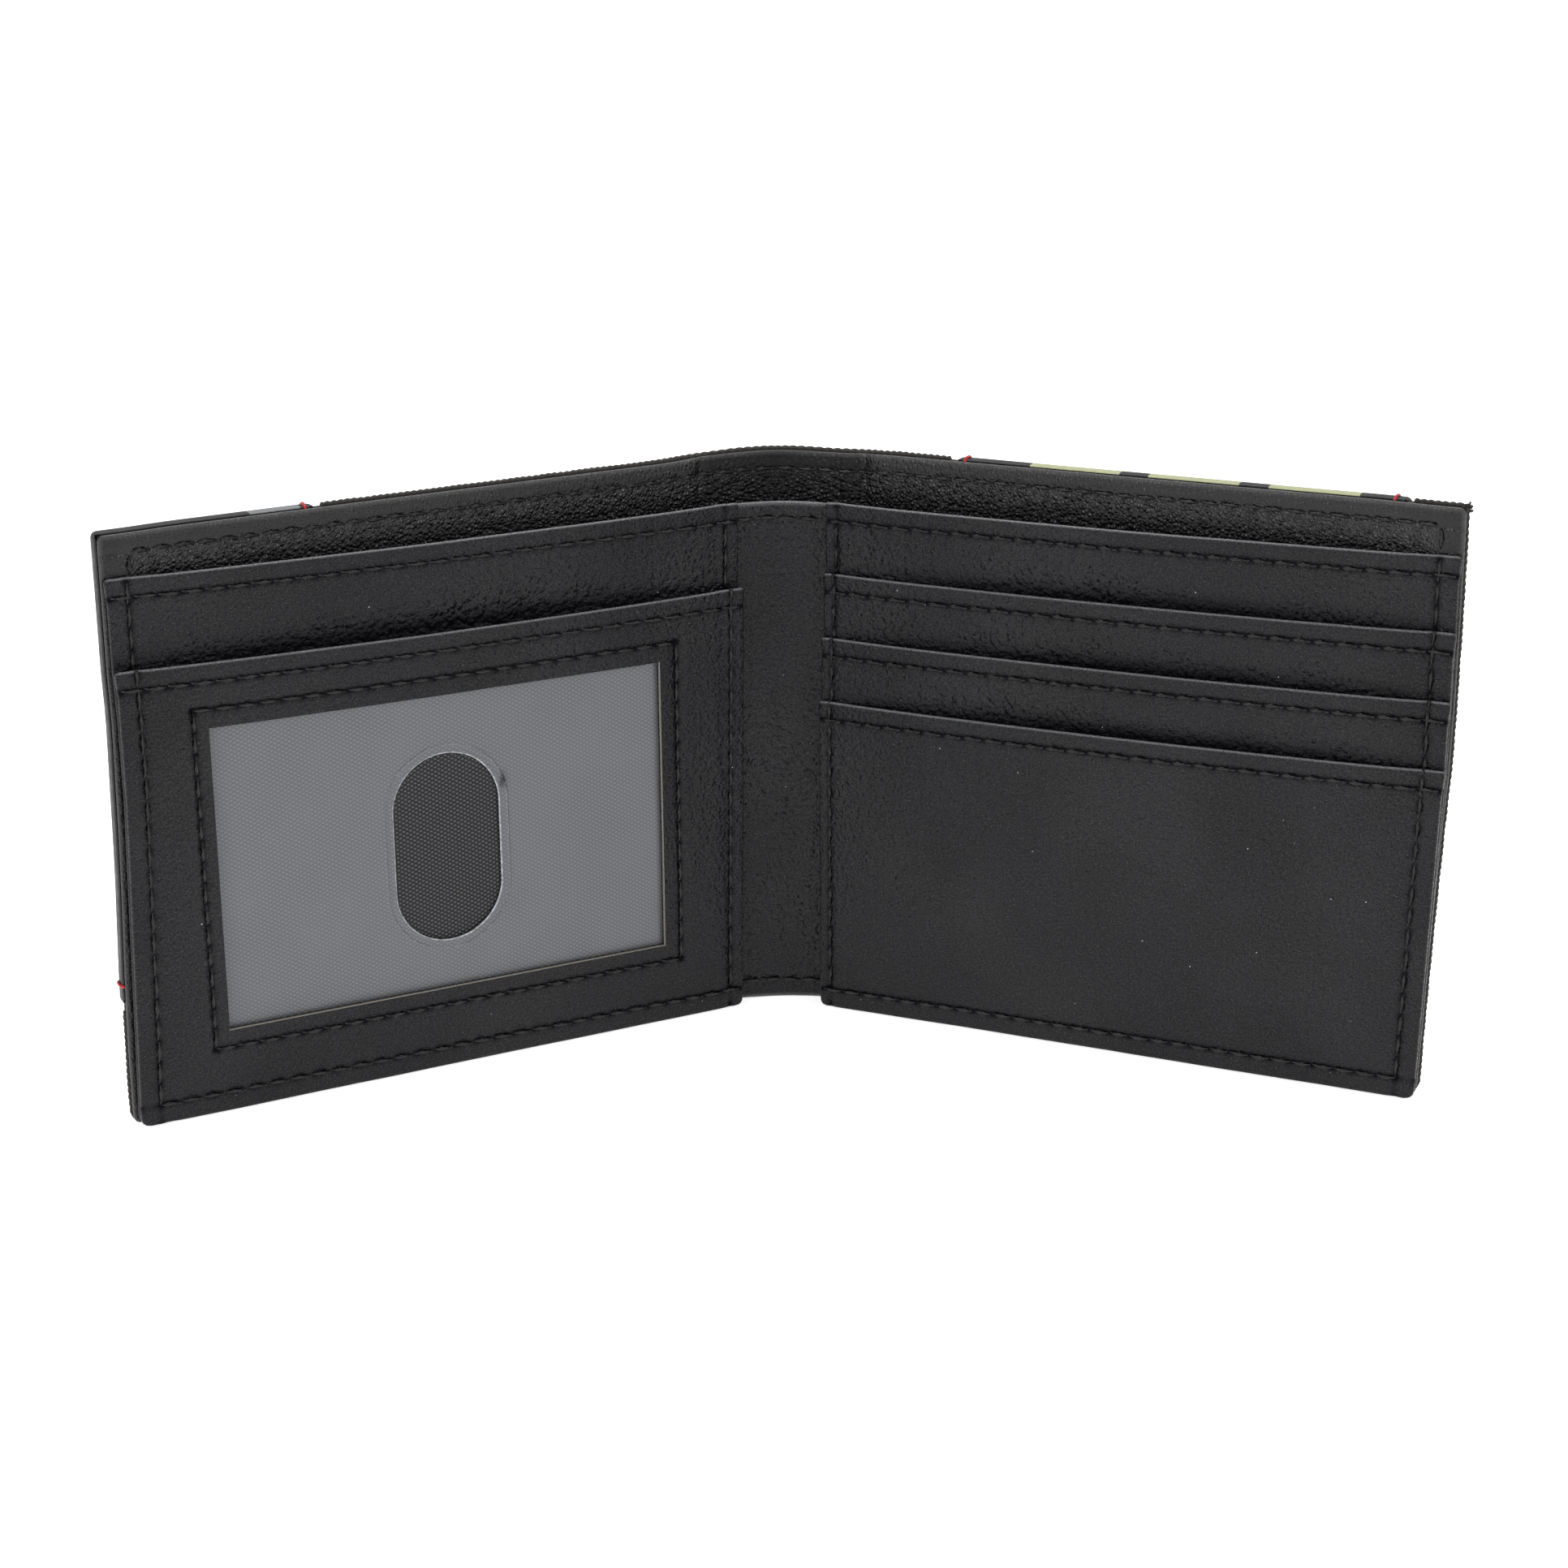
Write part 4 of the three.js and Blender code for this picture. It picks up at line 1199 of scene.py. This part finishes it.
def canvas(cover):
    """The cover's woven outside, its folded edge and the board under it."""
    panel, word = cover.panel, cover.word
    noise = Noise(80 + panel.side)

    def relief(s, z):
        return noise(s / 11, z / 14) * 0.1 * smooth(cover.edge_distance(s, z) / 6)

    nodes = [word + "_canvas", "spine_canvas"]
    cover_sheet(cover, word + "_canvas_sheet", nodes, cover.canvas_offset, cover.canvas_thickness,
                CANVAS, "black_canvas", relief)
    canvas_fold(cover)
    stiffener(cover)


def fold_path(cover):
    """The rope's middle: its distance along, s and z, and the way out of the cover."""
    s1 = cover.s1 - ROPE_INSET
    top = cover.top - ROPE_INSET + ROPE_LIFT["top"]
    foot = cover.foot + ROPE_INSET + ROPE_LIFT["foot"]
    quarter = np.linspace(0, math.pi / 2, 6)[1:-1]
    inner_s, inner_top, inner_foot = s1 - ROPE_TURN, top - ROPE_TURN, foot + ROPE_TURN
    upper = [(inner_s + ROPE_TURN * math.sin(a), inner_top + ROPE_TURN * math.cos(a)) for a in quarter]
    lower = [(inner_s + ROPE_TURN * math.cos(a), inner_foot - ROPE_TURN * math.sin(a)) for a in quarter]
    corners = np.array([(-SPINE_REACH, top), (inner_s, top), *upper, (s1, inner_top), (s1, inner_foot),
                        *lower, (inner_s, foot), (-SPINE_REACH, foot)])
    length = np.append(0, np.cumsum(np.linalg.norm(np.diff(corners, axis=0), axis=1)))
    t = np.linspace(0, length[-1], int(length[-1] / ROPE_STEP))
    s, z = np.interp(t, length, corners[:, 0]), np.interp(t, length, corners[:, 1])
    outward = np.stack([-np.gradient(z, t), np.gradient(s, t)], -1)
    outward /= np.maximum(np.linalg.norm(outward, axis=1, keepdims=True), 1e-9)
    low, high = cover.panel.extent(cover.word + "_patch")
    under_top = smooth((s - low[0] + 0.6) * 2) * smooth((high[0] - s + 0.6) * 2) * (z > top - 1)
    under_side = smooth((z - low[2] + 0.6) * 2) * (s > s1 - 1) * (high[0] > s1 - 2)
    sunk = ROPE_SUNK * np.maximum(under_top, under_side)
    return t, s - sunk * outward[:, 0], z - sunk * outward[:, 1], outward


def canvas_fold(cover):
    """The yarns that show along the canvas's turned edge: a rope round its top, free edge and foot,
    which sinks in under the patch."""
    t, s, z, outward = fold_path(cover)
    angle = np.arange(ROPE_SIDES) * 2 * math.pi / ROPE_SIDES
    twist = t[:, None] / YARN * math.pi + angle * 0.9
    noise = Noise(90 + cover.panel.side)
    uneven = 0.1 * noise(t / 2.5, 0.0 * t)[:, None]
    size = ROPE_RADIUS * (0.78 + 0.42 * np.abs(np.sin(twist)) + uneven)
    out, back = size * np.cos(angle), size * np.sin(angle)
    middle = cover.canvas_offset(s, z) + cover.canvas_thickness / 2
    points = cover.place(s[:, None] + outward[:, :1] * out, middle[:, None] + back * 1.05,
                         z[:, None] + outward[:, 1:] * out)
    tube, index = tube_faces(len(t), ROPE_SIDES)
    half = ROPE_SIDES // 2 - 1
    ends = np.array([[ring[i], ring[i + 1], ring[ROPE_SIDES - 2 - i], ring[ROPE_SIDES - 1 - i]]
                     for ring in (index[0], index[-1]) for i in range(half)])
    ends[:half] = ends[:half, ::-1]
    uv = np.stack(np.broadcast_arrays(t[:, None], angle * ROPE_RADIUS), -1).reshape(-1, 2)
    piece = make_piece(cover.word + "_canvas_fold", points.reshape(-1, 3), np.concatenate([tube, ends]),
                       cover.panel.side > 0, FOLD_YARN, uv, {})
    cover.blend(piece)


def canvas_fray(cover):
    """Loose yarn ends at the top corner of the canvas's fold."""
    chance = np.random.default_rng(17)
    count = FRAY_STRANDS
    t = np.linspace(0, 1, STITCH_RINGS)
    start_s = cover.s1 - 0.9 + chance.uniform(-0.3, 0.35, count)
    start_z = cover.top - 0.7 + chance.uniform(-0.3, 0.35, count)
    depth = cover.canvas_thickness / 2 + cover.thickness + chance.uniform(-0.3, 0.3, count)
    lean = math.pi / 4 + chance.uniform(-0.9, 0.9, count)
    reach = chance.uniform(1.0, 1.75, count)
    curl = chance.uniform(-0.5, 0.5, count)
    out = reach[:, None] * t
    across = curl[:, None] * np.sin(math.pi * t)
    s = start_s[:, None] + out * np.cos(lean)[:, None] - across * np.sin(lean)[:, None]
    z = start_z[:, None] + out * np.sin(lean)[:, None] + across * np.cos(lean)[:, None]
    offset = depth[:, None] + chance.uniform(-0.5, 0.3, count)[:, None] * t
    strands = cover.place(s, offset, z)
    normals = np.broadcast_to(cover.panel.front_normal(), strands.shape)
    piece = thread_piece(cover.word + "_canvas_fray", [(strands, normals)], FOLD_YARN,
                         FRAY_THICKNESS)
    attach(piece, cover.panel.body)


def fold_yarn():
    """The fold's own yarn, which slants and has a brown cast."""
    look = Look("canvas fold yarn", (0.013, 0.0105, 0.008), 0.85, 0.25, Sheen_Weight=0.2)
    fibres = look.noise(1.0, 4.0, look.stretch(5.0, 9.0, 0.5))
    look.paint(look.blend(look.remap(fibres, 0.3, 0.7), (0.006, 0.0052, 0.0045), (0.03, 0.025, 0.019)))
    look.bump(look.calc("MULTIPLY", fibres, 0.07))
    return look.material


FOLD_YARN = fold_yarn()


# Patches ------------------------------------------------------------------------------------------

LIP = 0.32  # how far a patch's turned edge stands beyond the cover
LIP_DEPTH = 0.5  # its front, behind the lining's front face
PATCH_THICKNESS = 0.9
PATCH_RADII = (1.6, 1.6, 1.6, 1.0)
PATCH_CLEARANCE = 0.12  # between it and the canvas
CHARCOAL = (0.013, 0.0133, 0.0142)
OLIVE = (0.34, 0.355, 0.205)
LIGHT_GREY = (0.16, 0.165, 0.17)
GREY_BAND = [(67.9, 75.7)]  # s from and to
OLIVE_BLOCKS = [(31.7, 46), (50.5, 64.5), (69, 82.6)]


class Patch:
    """The printed patch of a cover half, which wraps over the top edge and, on the left, the free one."""

    def __init__(self, cover):
        self.cover = cover
        self.wraps = cover.panel is LEFT
        self.node = cover.word + "_patch"
        (self.s0, _, self.z0), (self.s1, _, _) = cover.panel.extent(self.node)
        self.z1 = cover.top + LIP
        if self.wraps:
            self.s1 = cover.s1 + LIP
        low, high = cover.panel.extent(cover.word + "_patch_seam")
        self.columns = (low[0] + HALF_THREAD, high[0] - HALF_THREAD)
        self.rows = (low[2] + HALF_THREAD, high[2] - HALF_THREAD)
        self.noise = Noise(40 + cover.panel.side)

    def offset(self, s, z):
        """Offset of the patch's front face, which comes forward beyond the edges it wraps."""
        cover = self.cover
        inner_s, inner_z = np.minimum(s, cover.s1 - 0.3), np.minimum(z, cover.top - 0.05)
        base = cover.canvas_offset(inner_s, inner_z) + cover.canvas_thickness + PATCH_CLEARANCE
        groove = -0.6 * (hump(s - self.columns[0], 0.6) + hump(z - self.rows[0], 0.6)) * GROOVE
        wave = self.noise(s / 12, z / 12) * 0.06
        beyond = z - cover.top
        if self.wraps:
            beyond = np.maximum(beyond, s - cover.s1)
        return base + groove + wave - (base - LIP_DEPTH) * smooth((beyond + 0.02) / 0.1)

    def outer_face(self, s, z):
        """Offset of its outer face."""
        inner_s, inner_z = np.minimum(s, self.cover.s1 - 0.1), np.minimum(z, self.cover.top - 0.1)
        return self.offset(inner_s, inner_z) + PATCH_THICKNESS

    def build(self, look, slot):
        """Its sheet and its stitches."""
        cover, panel = self.cover, self.cover.panel
        rim = RIM_SHARE * PATCH_THICKNESS
        ss = grid_lines(self.s0, self.s1, PATCH_STEP, rim, self.columns[:1])
        zz = grid_lines(self.z0, self.z1, PATCH_STEP, rim, self.rows)
        lip_lines = np.arange(-0.06, 0.14, 0.04)
        zz = np.unique(np.append(zz, cover.top + lip_lines))
        if self.wraps:
            ss = np.unique(np.append(ss, cover.s1 + lip_lines))
        s, z, edge = round_corners(ss, zz, PATCH_RADII)
        fall = rounded(edge, rim)
        front = cover.place(s, self.offset(s, z) + 0.6 * fall, z)
        back = cover.place(s, self.outer_face(s, z) - fall, z)
        worn_and_lit = 1 - smooth((edge - 0.1) / 0.5)
        piece = slab(self.node + "_sheet", front, back, s, z, panel.side < 0, look, slot, {"rim": worn_and_lit})
        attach(piece, panel.body)
        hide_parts(self.node)
        self.stitches()

    def stitches(self):
        """Red stitches round the patch; the upright rows end with a stitch over the top edge."""
        cover, panel = self.cover, self.cover.panel
        outward = -panel.front_normal()
        (left, right), (foot, top) = self.columns, self.rows
        runs = [((left, foot), (right, foot)), ((left, top), (right, top))]
        runs += [((place, foot), (place, top)) for place in self.columns]
        made = []
        for i, run in enumerate(runs):
            s, z = straight(*run)
            path = cover.place(s, self.outer_face(s, z), z)
            made.append(stitch_row(path, np.tile(outward, (len(path), 1)), 51 + i))
        for place in self.columns[:1] if self.wraps else self.columns:
            made.append(self.over_edge((place, self.z1), (0, 1)))
        if self.wraps:
            made.append(self.over_edge((self.s1, foot + 1.4), (1, 0)))
        piece = thread_piece(cover.word + "_patch_stitches", made, RED_THREAD)
        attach(piece, panel.body)
        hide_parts(cover.word + "_patch_seam")

    def over_edge(self, rim, way):
        """One stitch from the outer face over the turned edge to the lining. rim is the (s, z) of the
        edge there, and way is the direction in which the edge faces."""
        outer = self.outer_face(*rim)
        corners = [(outer + 0.05, -2.0), (outer + 0.05, -0.5), (outer - 0.4, -0.05),
                   (LIP_DEPTH + 0.3, -0.05), (LIP_DEPTH - 0.1, -0.2), (LIP_DEPTH - 0.15, -0.9)]
        t = np.linspace(0, len(corners) - 1, 40)
        depth, height = (np.interp(t, np.arange(len(corners)), values) for values in zip(*corners))
        path = self.cover.place(rim[0] + way[0] * height, depth, rim[1] + way[1] * height)
        inside = (rim[0] - way[0] * 1.5, (outer + LIP_DEPTH) / 2, rim[1] - way[1] * 1.5)
        normals = path - self.cover.place(*(np.full(len(t), x) for x in inside))
        normals /= np.linalg.norm(normals, axis=1, keepdims=True)
        return stitch_row(path, normals, 59, count=1)


# Spine strip --------------------------------------------------------------------------------------

STRIP_FOOT, STRIP_TOP = 1.5, 2.7  # how far the strip's middle bows back behind the crease line
STRIP_TAIL = 3.0  # how far it runs on under each panel
STRIP_DEPTH = 0.92  # there, just behind the back pocket sheet
STRIP_TOP_DROP = 0.3
STRIP_GRAIN = 300  # sets the strip's grain apart from the pockets'
STRIP_HALF = 10.4  # from the spine's middle to the tail's end, along the strip
STRIP_THICKNESS = 0.7
STRIP_BEND_END = (1.3, 0.9)  # s and d on the panel
STRIP_SEAM_END = 6.6  # how far the strip's seams run from the spine's middle


def strip_place(panel, t, offset, z):
    """Points of the strip's half, t from 0 in its middle to 1 at its tail's end."""
    t, offset, z = np.broadcast_arrays(np.asarray(t, float), offset, z)
    end = panel.place(np.full(z.shape, STRIP_TAIL), STRIP_DEPTH + offset, z)
    bow = STRIP_FOOT + (STRIP_TOP - STRIP_FOOT) * z / 82
    middle = np.stack([np.full(z.shape, MIDDLE[0]), MIDDLE[1] + bow + offset, z], -1)
    ahead = np.array([*panel.along, 0.0])
    return curve_between(t[..., None], middle, panel.sideways, end, ahead, STRIP_HALF)


def blend_strip(piece, panel):
    """Bakes piece's transform into its mesh; piece does not bend round the crease."""
    bend_at_crease(piece, panel, panel.place(*STRIP_BEND_END, 0.0))


def strip_half(panel):
    """Half of the leather strip between the pocket stacks, with its two seams."""
    low, high = LEFT.extent("spine_strip")
    z0, z1 = low[2], high[2] - STRIP_TOP_DROP
    seams = {name: row_height(LEFT, f"spine_{name}_seam") for name in ("top", "bottom")}
    noise = Noise(77)

    def relief(s, z):
        depth = seam_groove(z - seams["top"], s / PITCH) + seam_groove(z - seams["bottom"], s / PITCH)
        depth = depth - HEM_RISE * smooth((z - z1 + HEM) / 0.9)
        mirror = s * panel.side
        wave = noise(mirror / 3.5 + 20, z / 10) * 0.1 + noise(mirror / 1.4 + 5, z / 7) * 0.03
        return depth + wave * smooth((STRIP_HALF - s) / 4)

    rim = RIM_SHARE * STRIP_THICKNESS
    lines = grid_lines(0, STRIP_HALF, STRIP_STEP, 0.2)
    ss = np.concatenate([[0, 0.03], lines[lines > 0.3]])
    s, z = np.meshgrid(ss, grid_lines(z0, z1, STEP, rim, seams.values()))
    edge = np.minimum(z1 - z, z - z0)
    fall = rounded(edge, rim)
    thickness = STRIP_THICKNESS * (1 - 0.5 * smooth((s - 6.5) / 3))
    lift = relief(s, z)
    front = strip_place(panel, s / STRIP_HALF, lift + fall, z)
    back = strip_place(panel, s / STRIP_HALF, lift + thickness - fall, z)
    bend = 0.35 + 0.3 * noise(s / 3, z / 5)
    # Lighter rims along the top and the foot: wear, and painted highlight.
    values = {"rim": 1 - smooth((edge - 0.12) / 0.35), "bend": np.clip(bend, 0, 1)}
    piece = slab(f"spine_strip_{WORDS[panel]}_half", front, back, s * panel.side + STRIP_GRAIN, z,
                 panel.side < 0, LEATHER, "smooth_leather", values)
    blend_strip(piece, panel)
    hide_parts("spine_strip")
    for name, height in seams.items():
        strip_stitches(panel, name, height, relief)


def strip_stitches(panel, name, height, relief):
    """One of the strip's two seams, from the middle of the spine to the pocket stack."""
    along = np.linspace(0.02, STRIP_SEAM_END, 40)
    heights = np.full(along.shape, height)
    path = strip_place(panel, along / STRIP_HALF, relief(along, heights), heights)
    normals = np.tile([0.0, -1.0, 0.0], (len(path), 1))
    rows = [stitch_row(path, normals, 41 + panel.side)]
    piece = thread_piece(f"spine_{name}_stitches_{WORDS[panel]}", rows)
    blend_strip(piece, panel)
    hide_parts(f"spine_{name}_seam")


# Stage --------------------------------------------------------------------------------------------


def floor():
    """A pale floor that fades into the background."""
    bpy.ops.mesh.primitive_plane_add(size=40, location=(0, 0, -0.0002))
    plane = bpy.context.object
    plane.name = "floor"
    look = Look("floor", (0.9, 0.9, 0.9), 0.9, 0.1)
    look.shader.inputs["Emission Color"].default_value = (1, 1, 1, 1)
    look.shader.inputs["Emission Strength"].default_value = 0.72
    plane.data.materials.append(look.material)


def area_light(name, place, target, size, power):
    """A soft box at place, facing target, both in metres from the wallet's middle."""
    light = bpy.data.lights.new(name, "AREA")
    light.shape = "RECTANGLE"
    light.size, light.size_y = size
    light.energy = power
    lamp = bpy.data.objects.new(name, light)
    lamp.location = place
    lamp.rotation_euler = (Vector(target) - Vector(place)).to_track_quat("-Z", "Y").to_euler()
    bpy.context.scene.collection.objects.link(lamp)


def lights():
    """Soft boxes, and a world that is white at the horizon and dimmer overhead."""
    world = bpy.data.worlds.new("studio")
    world.use_nodes = True
    background = world.node_tree.nodes["Background"]
    background.inputs["Color"].default_value = (1, 1, 1, 1)
    nodes, links = world.node_tree.nodes, world.node_tree.links
    parts = nodes.new("ShaderNodeSeparateXYZ")
    links.new(nodes.new("ShaderNodeTexCoord").outputs["Generated"], parts.inputs[0])
    fade = nodes.new("ShaderNodeMapRange")
    for socket, value in zip(fade.inputs[1:5], (0.2, 0.42, 1.05, 0.3)):
        socket.default_value = value
    links.new(parts.outputs["Z"], fade.inputs[0])
    links.new(fade.outputs[0], background.inputs["Strength"])
    bpy.context.scene.world = world
    area_light("overhead", (0.0, 0.12, 0.6), (0, 0, 0), (0.7, 0.35), 4.2)
    area_light("left front", (-0.55, -0.5, 0.32), (0, 0, 0.04), (0.3, 0.3), 1.6)
    area_light("right front", (0.6, -0.45, 0.38), (0, 0, 0.04), (0.3, 0.3), 1.6)


def camera():
    """The camera, aimed by its own pitch, yaw and roll."""
    data = bpy.data.cameras.new("camera")
    data.lens = CAMERA_LENS
    data.sensor_width = 36
    data.clip_start, data.clip_end = 0.01, 100
    made = bpy.data.objects.new("camera", data)
    cos_yaw, sin_yaw = math.cos(CAMERA_YAW), math.sin(CAMERA_YAW)
    cos_pitch, sin_pitch = math.cos(CAMERA_PITCH), math.sin(CAMERA_PITCH)
    ahead = np.array([-sin_yaw * cos_pitch, cos_yaw * cos_pitch, -sin_pitch])
    right = np.array([cos_yaw, sin_yaw, 0.0])
    up = np.cross(right, ahead)
    cos_roll, sin_roll = math.cos(CAMERA_ROLL), math.sin(CAMERA_ROLL)
    rolled_right = cos_roll * right + sin_roll * up
    rolled_up = cos_roll * up - sin_roll * right
    place = (np.array([*MIDDLE, 0.0]) + CAMERA_PLACE) * MM
    columns = np.column_stack([rolled_right, rolled_up, -ahead, place])
    made.matrix_world = Matrix([*columns.tolist(), [0, 0, 0, 1]])
    bpy.context.scene.collection.objects.link(made)
    bpy.context.scene.camera = made


# The wallet ---------------------------------------------------------------------------------------

left_pockets()
right_pockets()
for panel in (LEFT, RIGHT):
    strip_half(panel)
    cover = Cover(panel)
    lining(cover)
    canvas(cover)
    if panel is LEFT:
        look = patch_look("charcoal patch", CHARCOAL, GREY_BAND, LIGHT_GREY, 30)
        Patch(cover).build(look, "charcoal_patch")
    else:
        look = patch_look("olive patch", CHARCOAL, OLIVE_BLOCKS, OLIVE, 27)
        Patch(cover).build(look, "olive_patch")
        canvas_fray(cover)

floor()
lights()
camera()
bpy.context.scene.view_settings.view_transform = "Standard"
